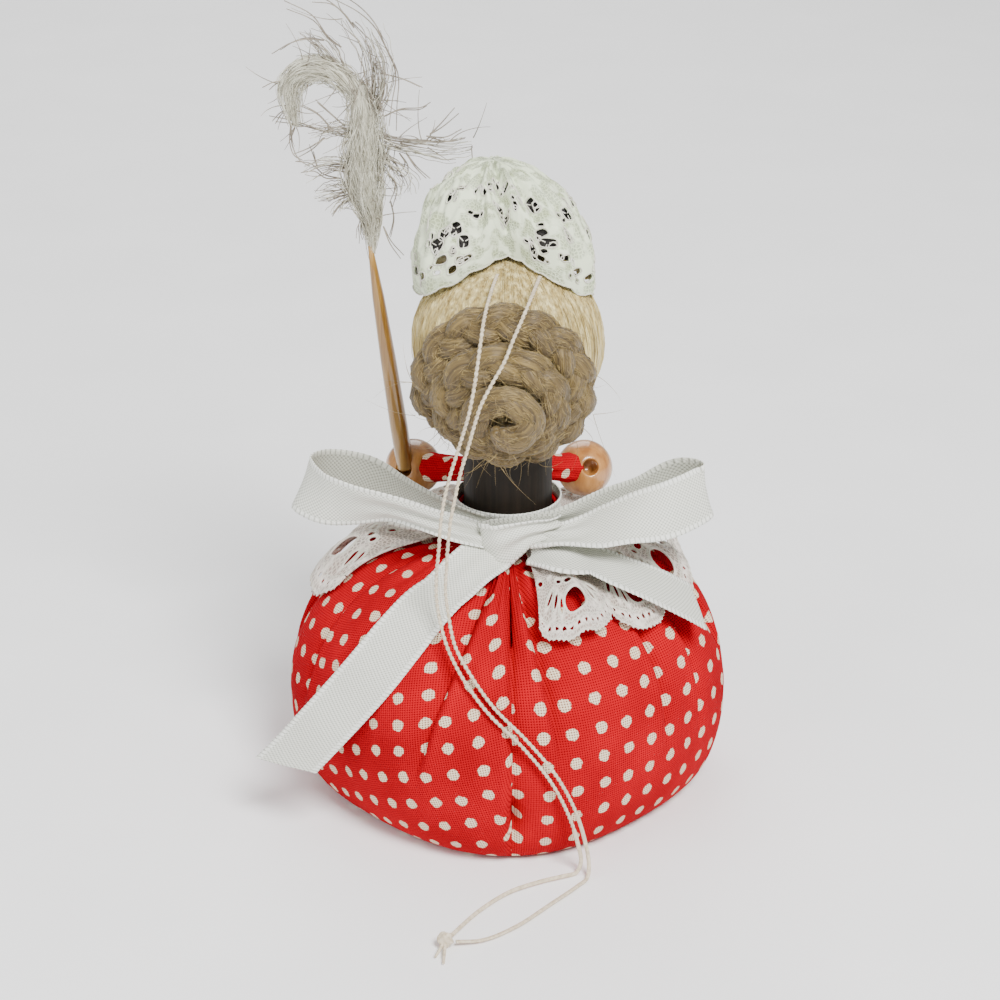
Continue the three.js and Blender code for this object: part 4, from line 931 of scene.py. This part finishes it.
def shoulder_height(radius):
    """Height of the skirt's upper side at a distance from the post."""
    for a, b in zip(over, over[1:]):
        if b[0] <= radius <= a[0]:
            return b[1] + (a[1] - b[1]) * (radius - b[0]) / (a[0] - b[0])
    return BELLY if radius > SKIRT_RADIUS else SHOULDER


def collar_point(along, outward, lift=0.0):
    start = COLLAR_START + 8 * (1 - outward)
    bearing = start + (COLLAR_END - start) * along
    turn = math.radians(bearing)
    dip = 0.03 * math.exp(-(math.radians(bearing - 122) / 0.7) ** 2)
    dip -= 0.06 * math.exp(-(math.radians(bearing - 370) / 0.4) ** 2)
    radius = 10 + (35 * (1 - dip) - 10) * outward
    pressed = max(math.exp(-(math.radians(bearing - middle) / wide) ** 2) for middle, wide in COLLAR_PRESSED)
    height = 2.4 * (1 - 0.85 * pressed) * outward ** 1.3
    wave = height * (1 - math.cos(9 * 2 * math.pi * along))
    ripple = 0.35 * (1 - pressed) * outward * math.sin(31 * 2 * math.pi * along + 4 * outward)
    rise = shoulder_height(radius) + 0.95 + 1.62 * smooth(0.2, 0.8, outward) + wave + ripple
    return round_post(radius, turn, rise + lift)


# Openings of one repeat of the collar's pattern, by distance along it and in from its outer edge
LEAVES = [
    (10.0, 6.3, 2.9, 2.3, 10), (4.9, 7.6, 1.6, 0.45, 62), (3.6, 9.0, 1.6, 0.45, 44),
    (6.1, 6.2, 1.4, 0.4, 76), (15.2, 7.6, 1.6, 0.45, -62), (16.6, 9.0, 1.6, 0.45, -44),
    (10.2, 11.0, 1.3, 0.7, 0), (7.2, 11.4, 0.8, 0.6, 0), (13.0, 11.4, 0.8, 0.6, 0),
    (1.6, 13.4, 1.0, 0.7, 30), (18.2, 13.6, 1.0, 0.7, -30), (10.0, 14.6, 1.1, 0.7, 0),
]
leaves = [(x + COLLAR_REPEAT * i, COLLAR_FLAT[1] - inward, wide, high, -turn)
          for i in range(round(COLLAR_FLAT[0] / COLLAR_REPEAT)) for x, inward, wide, high, turn in LEAVES]


def collar_edge(x):
    """How far in from the strip's outer line the edge lies: a round lobe every repeat, and fine picots."""
    lobe = abs(math.sin(math.pi * x / COLLAR_REPEAT)) ** 0.7
    return 4.8 - 4.5 * lobe + 0.3 * abs(math.sin(math.pi * x / 1.1))


def collar_solid(x, y):
    edge = COLLAR_FLAT[1] - y - collar_edge(x)
    slit = (math.hypot(((x % 1.7) - 0.85) / 0.55, (edge - 1.5) / 0.32) - 1) * 0.32
    return min([edge, slit] + [outside(x, y, leaf) for leaf in leaves if abs(leaf[0] - x) < 4])


collar_lace = cotton_lace("cream cotton lace", "#ded5ca", "#c5b5a6", 0.6, 0.65)
mesh = lace(620, 66, COLLAR_FLAT, collar_solid, collar_point)
bmesh.ops.reverse_faces(mesh, faces=mesh.faces[:])
collar = piece("lace_ruffle", mesh, collar_lace)
thicken(collar, 0.3, 0)
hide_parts("lace_collar")

hem = [(x / 4, COLLAR_FLAT[1] - collar_edge(x / 4) - 0.1) for x in range(round(COLLAR_FLAT[0]) * 4 + 1)]
inner_hem = [(x, y - 2.3) for x, y in hem]
outlined = [oval(leaf, 0.2) for leaf in leaves] + [oval(leaf, 0.55, 190, 350, 12) for leaf in leaves]
collar_threads = laid(outlined + [hem, inner_hem], COLLAR_FLAT, collar_point, 0.16)
fibres("collar_threads", collar_threads, lace_thread)


# Bow. White polyester satin ribbon, 10 mm wide with a sewn edge, tied round the neck: a band, the knot, two
# loops and two cut tails. Its face is white, and its back is the same satin coloured darker, as painted shade
# for the insides of the loops.
RIBBON_WIDTH = 10.0
SELVEDGE = 4.0
STITCH_PITCH = 0.9
BOW_CENTRE = Vector((0, 9.7, 51.85))
BAND_RADIUS = 9.55
BAND_PINCH = 0.76
BAND_STEPS = 80
LOOP_STEPS = 120
TAIL_STEPS = 90
KNOT_STEPS = 80


def spline(points, count):
    """count + 1 evenly spaced points on a smooth line through the given ones."""
    given = [Vector(p) for p in points]
    given = [given[0] * 2 - given[1]] + given + [given[-1] * 2 - given[-2]]
    found = []
    for a, b, c, d in zip(given, given[1:], given[2:], given[3:]):
        before, middle, after = [max((q - p).length ** 0.5, 1e-6) for p, q in ((a, b), (b, c), (c, d))]
        leave = ((b - a) / before - (c - a) / (before + middle) + (c - b) / middle) * middle
        reach = ((c - b) / middle - (d - b) / (middle + after) + (d - c) / after) * middle
        for i in range(24):
            t = i / 24
            found.append(b * (2 * t ** 3 - 3 * t ** 2 + 1) + leave * (t ** 3 - 2 * t ** 2 + t)
                         + c * (3 * t ** 2 - 2 * t ** 3) + reach * (t ** 3 - t ** 2))
    return evenly(found + [given[-2]], count)


def spread(line, stops, values):
    """A value for each point of a line, from the values at the stops that it passes."""
    at = [min(range(len(line)), key=lambda i: (line[i] - Vector(stop)).length) for stop in stops]
    at[0], at[-1] = 0, len(line) - 1
    found = []
    for i in range(len(line)):
        k = max(j for j in range(len(at) - 1) if at[j] <= i)
        share = min((i - at[k]) / max(at[k + 1] - at[k], 1), 1)
        found.append(values[k] + (values[k + 1] - values[k]) * share)
    return found


def satin(name, deep, pale, sewn_deep, sewn_pale):
    """Satin shows a fine slanting weave, and its selvedges are sewn over with even stitches. The weave is
    painted grey where it dips, and the selvedge darker between the stitches, as painted shade.
    """
    made, tree, _ = material(name)
    flat = on_flat_cloth(tree)
    slanted = node(tree, "ShaderNodeMapping", None, {"Vector": flat, "Rotation": (0, 0, math.pi / 4)})
    threads = woven(tree, slanted.outputs[0], 0.5)
    parts = node(tree, "ShaderNodeSeparateXYZ", None, {0: flat})
    from_middle = maths(tree, "ABSOLUTE", maths(tree, "SUBTRACT", parts.outputs[1], RIBBON_WIDTH / 2 * MM))
    selvedge = between(tree, from_middle, SELVEDGE * MM, (SELVEDGE + 0.2) * MM)
    wave = maths(tree, "SINE", maths(tree, "MULTIPLY", parts.outputs[0], math.pi / (STITCH_PITCH * MM)))
    stitch = between(tree, maths(tree, "ABSOLUTE", wave), 0.1, 0.6)
    # Painted shade: the white satin is coloured grey where the weave dips, and between the stitches.
    ground = mix(tree, between(tree, threads, 0.25, 0.8), deep, pale)
    finished(tree, {"Base Color": mix(tree, selvedge, ground, mix(tree, stitch, sewn_deep, sewn_pale)),
                    "Roughness": 0.45, "Normal": relief(tree, threads, 0.08), "Specular IOR Level": 0.35})
    return made


face_satin = satin("white satin ribbon", "#a6a79c", "#dedfd4", "#b0b1a6", "#e9eae2")
# The back is the same satin coloured darker, as painted shade.
shaded_back_satin = satin("darker back of the ribbon as painted shade", "#84857a", "#b3b4a6", "#8d8e82", "#c6c7ba")


def ribbon(name, stations, start=0.0, cut=0.0, flipped=False):
    """A strip along stations of (middle, across, face, pinch), its satin face on the face side or flipped.
    Pinched stretches fold lengthwise, and cut is how much shorter its second edge ends, in mm."""
    lengths = [0.0]
    for a, b in zip(stations, stations[1:]):
        lengths.append(lengths[-1] + (b[0] - a[0]).length)
    last = len(stations) - 1

    def place(along, side):
        reached = along * (1 - abs(cut) * (side if cut > 0 else 1 - side) / lengths[-1])
        at = min(int(reached * last), last - 1)
        share = reached * last - at
        middle, across, face, pinch = (a + (b - a) * share for a, b in zip(stations[at], stations[at + 1]))
        off = (side - 0.5) * RIBBON_WIDTH
        rib = 0.16 * abs(math.sin(math.pi * reached * lengths[-1] / STITCH_PITCH))
        rib *= smooth(SELVEDGE - 0.3, SELVEDGE + 0.3, abs(off))
        pleat = 0.9 * (1 - pinch) * math.sin(4.5 * math.pi * side)
        curl = -0.25 * (2 * side - 1) ** 2
        return middle + across * off * pinch + face * (rib + pleat + curl)

    columns = round(lengths[-1] / 0.24)
    mesh = cloth(columns, 22, place,
                 lambda along, side, a, b: (along * lengths[-1] + start, side * RIBBON_WIDTH))
    if flipped:
        bmesh.ops.reverse_faces(mesh, faces=mesh.faces[:])
    made = piece(name, mesh, face_satin)
    # The back of the strip takes the darker satin, painted shade.
    made.data.materials.append(shaded_back_satin)
    thicken(made, 0.22, 0)
    made.modifiers["thickness"].material_offset = 1
    return made, lengths[-1]


stations = []
for i in range(BAND_STEPS + 1):
    out = round_post(1, math.radians(90 + 360 * i / BAND_STEPS), 0)
    middle = out * BAND_RADIUS + Vector((0, 0, BOW_CENTRE.z + 0.3))
    stations.append((middle, Vector((0, 0, 1)), out, BAND_PINCH))
band, length = ribbon("ribbon_band", stations)
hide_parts("ribbon_neck_band")

# Each loop: its side, its reach in mm, how many steps from the knot it stays crumpled, and stops from the
# knot out and back: the place outwards, backwards and up as shares of the reach, and the width's lean there
LOOPS = {
    "left": (1, 36.6, 46, [
        (0.344, 0.134, 0.13, 0, 0.1, 0.95), (0.555, 0.139, 0.205, 0, 0.5, 0.85),
        (0.751, 0.123, 0.223, 0, 0.35, 0.95), (0.907, 0.063, 0.234, -0.2, 0.1, 0.95),
        (1, -0.057, 0.258, -0.4, -0.1, 0.9), (0.907, -0.167, 0.247, -0.2, -0.1, 0.97),
        (0.71, -0.189, 0.206, 0, -0.1, 1), (0.536, -0.139, 0.119, 0, -0.1, 1),
        (0.35, -0.068, 0.083, 0, 0, 1)]),
    "right": (-1, 35.3, 24, [
        (0.241, 0.122, 0.06, 0, -0.9, 0.4), (0.385, 0.133, 0.09, 0, -0.9, 0.3),
        (0.598, 0.133, 0.15, 0, -0.8, 0.5), (0.822, 0.082, 0.186, -0.1, -0.4, 0.9),
        (1, -0.048, 0.232, -0.24, -0.15, 0.96), (0.892, -0.127, 0.229, -0.12, -0.15, 1),
        (0.686, -0.122, 0.13, 0, -0.1, 1), (0.499, -0.088, 0.09, 0, 0, 1), (0.269, -0.003, 0.065, 0, 0, 1)]),
}
for side, (way, reach, crumpled, stops) in LOOPS.items():
    mirror = Vector((way, 1, 1))
    spots = [Vector((4.1, 2.75, 0.035 * reach))] + [Vector(stop[:3]) * reach for stop in stops]
    spots = [spot * mirror for spot in spots + [Vector((4.1, 0.7, 0.055 * reach))]]
    line = spline(spots, LOOP_STEPS)
    leans = [Vector(lean) * mirror for lean in [(0, -0.7, 0.7)] + [stop[3:] for stop in stops] + [(0, 0, 1)]]
    leans = smoothed(spread(line, spots, leans), 8)
    stations = []
    for i, middle in enumerate(line):
        along = heading(line, i)
        across = square_to(leans[i], along)
        going = 0.48 + 0.52 * smooth(0.3 * crumpled, crumpled, i)
        coming = 0.5 + 0.5 * smooth(0, 30, LOOP_STEPS - i)
        stations.append((BOW_CENTRE + middle, across, along.cross(across), min(going, coming)))
    loop, length = ribbon("bow_loop_" + side, stations, flipped=side == "left")
    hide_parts("ribbon_loop_" + side)

# Each tail: how much shorter its lower edge is cut, how steeply it leaves the knot and hangs at its end, how
# broad it leaves the knot, and its stops: distance from the post, bearing and height over the skirt there
TAILS = {
    "left": (8.5, 0.95, 1.3, 0.85, [
        (13.7, 79, 3.0), (18.5, 70.5, 3.2), (23.7, 64.3, 3.0), (28.4, 59.3, 3.3), (33.3, 55.2, 3.7),
        (37.1, 50.7, 4.6), (40.1, 45.3, 10.8), (43.7, 40.9, 5.1), (47, 35.7, -1.4), (50.2, 32.0, -6.6)]),
    "right": (2.0, 0.8, 0.6, 0.6, [
        (13.7, 108, 2.9), (19.6, 121.8, 5.0), (22.6, 132.3, 5.3), (26.9, 140.1, 5.6), (31, 147.4, 6.3),
        (34, 152.7, 7.2), (37.3, 159.2, 9.4)]),
}
for side, (cut, leaving, hanging, breadth, stops) in TAILS.items():
    spots = [round_post(radius, math.radians(bearing), shoulder_height(radius) + lift)
             for radius, bearing, lift in stops]
    line = spline(spots, TAIL_STEPS)
    stations = []
    for i, middle in enumerate(line):
        along = heading(line, i)
        steep = hanging * smooth(0.4 * SKIRT_RADIUS, SKIRT_RADIUS, math.hypot(middle.x, middle.y))
        steep = max(steep, leaving * (1 - smooth(0, 0.4 * TAIL_STEPS, i)))
        bearing = math.atan2(middle.y, middle.x)
        bearing += 0.35 * steep * (math.pi / 2 - bearing)
        across = round_post(math.sin(steep), bearing, math.cos(steep)).cross(along).normalized()
        pinch = breadth + (1 - breadth) * smooth(0, 0.3 * TAIL_STEPS, i)
        stations.append((middle, across, along.cross(across), pinch))
    tail, length = ribbon("bow_tail_" + side, stations, 7.0, cut)
    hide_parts("ribbon_tail_" + side)

# The knot is one turn of the ribbon that comes up from behind on the left, broad, and narrows as it goes over
# to the right loop: places and widths in mm
KNOT_TURN = [
    ((4.4, 11.4, 51.2), 8.0), ((4.4, 13.6, 51.6), 9.0), ((2.2, 15.2, 52.0), 9.4),
    ((-0.8, 15.0, 53.3), 7.0), ((-3.6, 14.3, 54.4), 5.0), ((-7.4, 13.3, 54.9), 3.8),
    ((-9.2, 12.0, 55.0), 3.8), ((-6.5, 10.6, 54.0), 5.0), ((-2.0, 10.4, 52.4), 7.0),
    ((2.6, 10.6, 51.4), 8.0), ((4.4, 11.4, 51.2), 8.0),
]
line = spline([spot for spot, width in KNOT_TURN], KNOT_STEPS)
widths = spread(line, *zip(*KNOT_TURN))
stations = []
for i, middle in enumerate(line):
    along = heading(line, i)
    across = square_to(Vector((0.15, 0, 1)), along)
    stations.append((middle, across, along.cross(across), widths[i] / RIBBON_WIDTH))
knot, length = ribbon("bow_knot", stations)
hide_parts("ribbon_knot")


# Duster. A whittled, varnished stick glued in the left hand, with teased wool yarn drawn on to its point. The
# yarn is matted in the middle and stands out in spikes and single threads.
STICK_FOOT = Vector((19.007, -12.466, 55.391))
STICK_WAY = Vector((0.131, -0.01, 0.99)).normalized()
TUFT_DEPTH = -13.0
LOCK_STEPS = 40

pale_stick = varnished_birch("varnished pale wood", "#a27c3a", "#80591d", (1.2, 1.2, 30.0))
shank = [(0, 0), (1.3, 0), (1.6, 0.4), (1.65, 8.5), (1.44, 22), (1.09, 34)]
tip = [(0.75, 39), (0.4, 43.7), (0, 44)]
mesh = turned(shank + tip, 40)
mesh.transform(Matrix.Translation(STICK_FOOT) @ STICK_WAY.to_track_quat("Z", "Y").to_matrix().to_4x4())
stick = piece("stick", mesh, pale_stick, "duster")
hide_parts("duster_stick")

# Locks of yarn: whether the lock is matted, then each stop's place across and up in the plane of the stick
# and its radius, all in mm. A lock that isn't matted is a loose fan of threads
LOCKS = [
    (True, [(24.2, 97.2, 0.4), (24.5, 103.8, 1.8), (25.6, 110, 3.2), (25.5, 116.1, 3.6), (25.4, 120.7, 3.1),
            (25.8, 125.3, 2.6), (26.3, 128, 1.4)]),
    (True, [(25.3, 123.2, 1.8), (26.2, 126.2, 2), (28.7, 129.3, 2.1), (32.1, 131.1, 2.1), (35.7, 130.5, 2.1),
            (38, 127.8, 1.9), (38.1, 124.4, 1.2), (37.4, 120.7, 0.4)]),
    (False, [(24.6, 121, 1.9), (24.1, 127, 1.8), (24.2, 131.5, 1.7), (25, 135, 1.6), (27.6, 140, 1.9)]),
    (False, [(24.5, 121.5, 1.7), (22.4, 127, 2.0), (22.2, 132, 2.2), (24.5, 137.5, 2.2)]),
    (False, [(24.6, 119.4, 1.6), (19.8, 117.9, 1.3), (15, 117.4, 1.4), (11, 117.1, 1.6), (6.5, 117.9, 1.9)]),
    (False, [(24.6, 116, 1.6), (20.8, 113.5, 1.4), (18.4, 110.5, 1.6), (18, 107.8, 1.8)]),
    (False, [(26.2, 113.2, 1.5), (31.5, 113.6, 1.1), (33.8, 113.3, 1.1), (36.6, 112.3, 1.2)]),
    (False, [(26.2, 109.6, 1.5), (31, 108.7, 1.1), (34.6, 108.2, 1.2)]),
    (False, [(25.6, 108.4, 1.3), (29.8, 106.6, 0.9), (31.6, 104.6, 1)]),
    (False, [(26, 119.6, 1.4), (31.2, 120, 1.3), (35, 119.4, 1.6)]),
    (False, [(24.8, 107, 0.9), (26.2, 102.3, 0.8), (25.6, 98.8, 0.8)]),
    (False, [(28.6, 129.6, 1.2), (31.4, 134.2, 1.5), (35.2, 138.2, 2.2)]),
]
# Single threads that stand off the locks, across and up
THREADS = [
    [(29, 134.8), (31, 136.4), (33.5, 140), (38, 142.3)],
    [(32, 136), (34.9, 136.4), (37.7, 135.9), (40.9, 134.2)],
    [(26.7, 138.2), (28.1, 140.7), (30.4, 142.8), (33.6, 143.4)],
    [(21.4, 135.1), (23.1, 138.5), (25.9, 141.3), (30.4, 143.9)],
    [(21.4, 135.1), (19.2, 129.9), (19.5, 124.4), (19.7, 119.8)],
    [(22.3, 130.2), (18.6, 129.3), (15.4, 127.9)],
    [(21.7, 122.5), (18.9, 123.8), (15.2, 124.1), (13.6, 125)],
    [(13.8, 119.2), (11.9, 121), (9.4, 123.8)], [(14.4, 118.9), (11, 118.4), (8.2, 119.5)],
    [(18, 115.8), (16.1, 113.3), (13.8, 111.2)],
    [(19.2, 115.8), (17.8, 113.3), (18.2, 111.2), (19.7, 110.9)],
    [(21.1, 112.1), (20, 110), (21.1, 106.9)], [(20.9, 106.9), (20.4, 103.5), (21.1, 99.8)],
    [(22.3, 102.3), (21.1, 99.5), (19.2, 97.1)], [(28.7, 120.7), (31.5, 123.2), (33.5, 125)],
    [(31, 120.1), (33.5, 122.9), (36.3, 124.4)], [(31.5, 119.5), (34.3, 120.1), (37.4, 120.7), (41, 121)],
    [(32.4, 118.6), (34.9, 117), (38, 115.8)], [(38.2, 121.3), (38, 117.6), (36.8, 115.2), (34.9, 114.3)],
    [(38.8, 128.7), (40.8, 129), (42.7, 128.4)], [(38.5, 123.8), (39.9, 122.5), (41.2, 120.4)],
    [(29.8, 111.2), (32.4, 111.2), (34.3, 112.4), (36.8, 112.1)],
    [(33.8, 113.3), (34.6, 115.2), (35.3, 116.6)],
]
yarn = fibrous("teased wool yarn", "#dbd9c6", "#b9b5a0", "#8d8872", (0.25, 3.0, 1.0), on_cloth=True)
teased = fibrous("teased wool fibre", "#dedccb", "#c2beab", "#99937f", (1.2, 1.2, 1.2))
taupe = fibrous("taupe wool thread", "#9a9080", "#83796a", "#675e50", (1.2, 1.2, 1.2))

chance = random.Random(31)
matted, strands, singles = [], [], []
for is_matted, stops in LOCKS:
    spots = [(x, TUFT_DEPTH, z) for x, z, radius in stops]
    line = spline(spots, LOCK_STEPS)
    ways = frames(line, Vector((26, -60, 118)))
    radii = spread(line, spots, [stop[2] for stop in stops])
    if is_matted:
        matted.append([(p, across * 0.75 * r, out * 0.65 * r)
                       for p, r, (_, out, across) in zip(line, radii, ways)])
    for i in range(round(40 + 70 * max(radii)) if is_matted else 26):
        angle, phase = chance.uniform(0, 2 * math.pi), chance.uniform(0, 6)
        off = chance.uniform(0.7, 1.2) if is_matted else chance.uniform(0, 1)
        first = chance.randrange(0, 28) if is_matted else chance.randrange(0, 8)
        count = chance.randrange(9, 24) if is_matted else chance.randrange(20, 41)
        twist, apart = chance.uniform(-0.09, 0.09), chance.uniform(0, 0.5) ** 2
        size = chance.uniform(0.05, 0.1) if is_matted else chance.uniform(0.06, 0.12)
        strand = []
        for j in range(first, min(first + count, LOCK_STEPS + 1)):
            _, out, across = ways[j]
            turn = angle + twist * (j - first)
            wide = radii[j] * off * (1 + 0.08 * math.sin(phase + 0.9 * j)) + apart * (j - first) * 0.3
            spot = line[j] + (across * math.cos(turn) + 0.85 * out * math.sin(turn)) * wide
            strand.append((spot, size * (1 - 0.5 * (j - first) / count)))
        (strands if is_matted or i % 3 == 0 else singles).append(strand)
tuft = piece("yarn_tuft", ropes(matted, 16, 0.2), yarn, "duster")
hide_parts("duster_tuft")
fibres("yarn_fibres", strands, teased, "duster")

for points in THREADS:
    for i in range(2):
        deep = chance.uniform(-3, 3)
        drift = chance.uniform(-1, 1) * i
        spots = [(x + drift * j / 2, TUFT_DEPTH + deep * j / 2, z + drift * j / 2)
                 for j, (x, z) in enumerate(points)]
        singles.append([(p, 0.13 * (1.1 - 0.5 * k / 12)) for k, p in enumerate(spline(spots, 12))])
for i in range(90):
    _, stops = LOCKS[chance.choice((0, 0, 1, 1, 2, 4))]
    x, z, radius = stops[chance.randrange(1, len(stops))]
    turn = chance.uniform(0, 2 * math.pi)
    way = Vector((math.cos(turn), chance.uniform(-0.9, 0.9), math.sin(turn))).normalized()
    bend = Vector((chance.uniform(-1, 1), chance.uniform(-1, 1), chance.uniform(-1, 1))) * 3
    reach = chance.uniform(3, 8)
    spot = Vector((x, TUFT_DEPTH, z)) + way * 0.7 * radius
    shares = [j / 7 for j in range(8)]
    singles.append([(spot + way * reach * s + bend * s * s, 0.1 * (1.1 - 0.7 * s)) for s in shares])
fibres("yarn_threads", singles, taupe, "duster", 1)


# Hanging cord. One off-white two-ply cotton thread, doubled: both strands come out from under the cap's
# gather, hang over the bun and down the skirt, and are knotted together at their ends.
CORD_LEFT = [
    (1.9, 9, 100.7), (3.1, 15.5, 99.2), (4, 20.7, 97.2), (4.6, 24.4, 94.4), (5.2, 26, 90.5),
    (5.8, 27.2, 86.7), (6.6, 28.2, 82.9), (7.7, 28.3, 78.9), (8.9, 28.4, 74.9), (10.1, 28.5, 70.8),
    (11, 28.7, 66.7), (11.6, 28.9, 62.4), (11.9, 29.1, 58.1), (12.3, 29.2, 53.8), (12.4, 29.4, 49.4),
    (11.8, 30.3, 45.2), (10.4, 32.4, 40.8), (7.6, 35.5, 36.3), (3.4, 38.6, 31.5), (-2, 40.5, 26.5),
    (-6.9, 41.1, 20.2), (-10.2, 40.7, 13.3), (-12.2, 39.8, 6.3), (-12.8, 39.6, 2.2), (-12, 40.2, 0.6),
    (-9.6, 41.4, 0.6), (-5.5, 43.2, 0.6), (-0.3, 46.4, 0.6), (4.9, 52.2, 0.6), (9.9, 61, 1.1),
]
CORD_RIGHT = [
    (-5.4, 8.6, 100.2), (-3.9, 17.8, 99.8), (-2.4, 21.8, 97.5), (-0.8, 24.7, 94.7), (0.8, 26, 91),
    (2.8, 27.7, 87.9), (4.6, 28.8, 84.6), (5.8, 28.9, 80.7), (6.9, 29.1, 76.6), (8.1, 29.2, 72.4),
    (9, 29.2, 68.1), (9.8, 29.3, 63.8), (10.3, 29.4, 59.4), (10.6, 29.5, 54.9), (10.8, 29.6, 50.4),
    (10.3, 30.3, 46.2), (9.2, 32.3, 41.4), (6.4, 35.3, 37.1), (2.4, 38.3, 32.4), (-3, 40.4, 27.4),
    (-8.1, 41, 20.9), (-11.5, 40.6, 13.8), (-13.5, 39.9, 6.6), (-14.2, 40, 2.2), (-13.9, 41.8, 0.6),
    (-12.2, 44.4, 0.6), (-7.5, 50, 0.6), (-1.2, 57.2, 0.6), (4.4, 61.2, 0.6), (8.8, 62.4, 1.1),
]
CORD_KNOT = Vector((10.6, 62.4, 1.5))
PLY_PITCH = 1.9
PLY_STEP = 0.26

# Cotton thread is matt and a little fluffy, so that its colour varies in small flecks
thread, tree, place = material("two-ply cotton thread")
fluff = mottle(tree, place, 0.67, 4.0)
finished(tree, {"Base Color": mix(tree, fluff, "#b9a98e", "#dccfb8"), "Roughness": 0.9,
                "Normal": relief(tree, fluff, 0.05)})

two_ply = bpy.data.curves.new("two_ply_section", "CURVE")
two_ply.dimensions = "2D"
section = two_ply.splines.new("POLY")
section.points.add(11)
section.use_cyclic_u = True
for i, point in enumerate(section.points):
    turn = 2 * math.pi * i / 12
    radius = (0.29 + 0.08 * math.cos(2 * turn)) * MM
    point.co = (radius * math.cos(turn), radius * math.sin(turn), 0, 1)
section_shape = placed("two_ply_section", two_ply)
section_shape.hide_render = True
section_shape.hide_viewport = True


def twisted(name, points):
    """A strand along the points, its two-ply section turning once every pitch."""
    data = bpy.data.curves.new(name, "CURVE")
    data.dimensions = "3D"
    data.bevel_mode = "OBJECT"
    data.bevel_object = section_shape
    data.use_fill_caps = True
    rough = spline(points, 400)
    length = sum((b - a).length for a, b in zip(rough, rough[1:]))
    count = round(length / PLY_STEP)
    line = data.splines.new("POLY")
    line.points.add(count)
    for i, (point, spot) in enumerate(zip(line.points, evenly(rough, count))):
        point.co = (*(spot * MM), 1)
        point.tilt = 2 * math.pi * i * PLY_STEP / PLY_PITCH
    data.materials.append(thread)
    return placed(name, data, "doll"), length


mesh = bmesh.new()
bmesh.ops.create_uvsphere(mesh, u_segments=24, v_segments=16, radius=1.3)
for vert in mesh.verts:
    turn = math.atan2(vert.co.y, vert.co.x)
    vert.co *= 1 + 0.12 * math.sin(3 * turn + 4 * vert.co.z) + 0.08 * noise.noise(vert.co * 1.7)
mesh.transform(Matrix.Translation(CORD_KNOT))
overhand = piece("cord_end_knot", mesh, thread)
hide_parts("cord_knot")
frayed = [[(CORD_KNOT + reach * s - Vector((0, 0, 0.1)), 0.33 * (1.1 - 0.45 * s)) for s in (0.1, 0.4, 0.7, 1)]
          for reach in (Vector((0.2, 5.5, -0.9)), Vector((1.6, 3.6, -0.9)))]
ends = fibres("cord_tails", frayed, thread, corners=2)
for side, points in (("left", CORD_LEFT), ("right", CORD_RIGHT)):
    strand, length = twisted("hanging_cord_" + side, points)
    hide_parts("cord_strand_" + side)


# Stage. A plain pale floor, soft studio light from above and both sides, and the camera behind the doll at
# the photograph's height.
LAMP_AIM = Vector((0, 0, 0.06))
CAMERA_LENS = 90.72
CAMERA_PLACE = Vector((1.43, 418.8, 240.96)) * MM
CAMERA_AIM = Vector((1.43, 7.70, 57.92)) * MM

floor_paint, tree, place = material("matt white floor")
finished(tree, {"Base Color": mix(tree, mottle(tree, place, 33), "#fcfcfc", "#f8f8f8"), "Roughness": 0.9})
mesh = bmesh.new()
bmesh.ops.create_grid(mesh, x_segments=1, y_segments=1, size=2500)
piece("floor", mesh, floor_paint, body=None)

LAMPS = {
    "key": ((-0.3, 0.6, 0.8), 0.35, 19.0),
    "fill": ((0.6, 0.45, 0.45), 0.6, 3.0),
    "front": ((0.1, -0.7, 0.6), 0.6, 4.0),
}
for name, (spot, size, power) in LAMPS.items():
    lamp = placed(name, bpy.data.lights.new(name, "AREA"))
    lamp.data.size = size
    lamp.data.energy = power
    lamp.location = spot
    lamp.rotation_euler = (LAMP_AIM - Vector(spot)).to_track_quat("-Z", "Y").to_euler()

world = bpy.data.worlds.new("soft white room")
world.use_nodes = True
world.node_tree.nodes["Background"].inputs["Color"].default_value = linear("#ffffff")
world.node_tree.nodes["Background"].inputs["Strength"].default_value = 0.5
bpy.context.scene.world = world

camera = placed("camera", bpy.data.cameras.new("camera"))
camera.data.sensor_width = 36
camera.data.lens = CAMERA_LENS
camera.location = CAMERA_PLACE
camera.rotation_euler = (CAMERA_AIM - CAMERA_PLACE).to_track_quat("-Z", "Y").to_euler()
bpy.context.scene.camera = camera
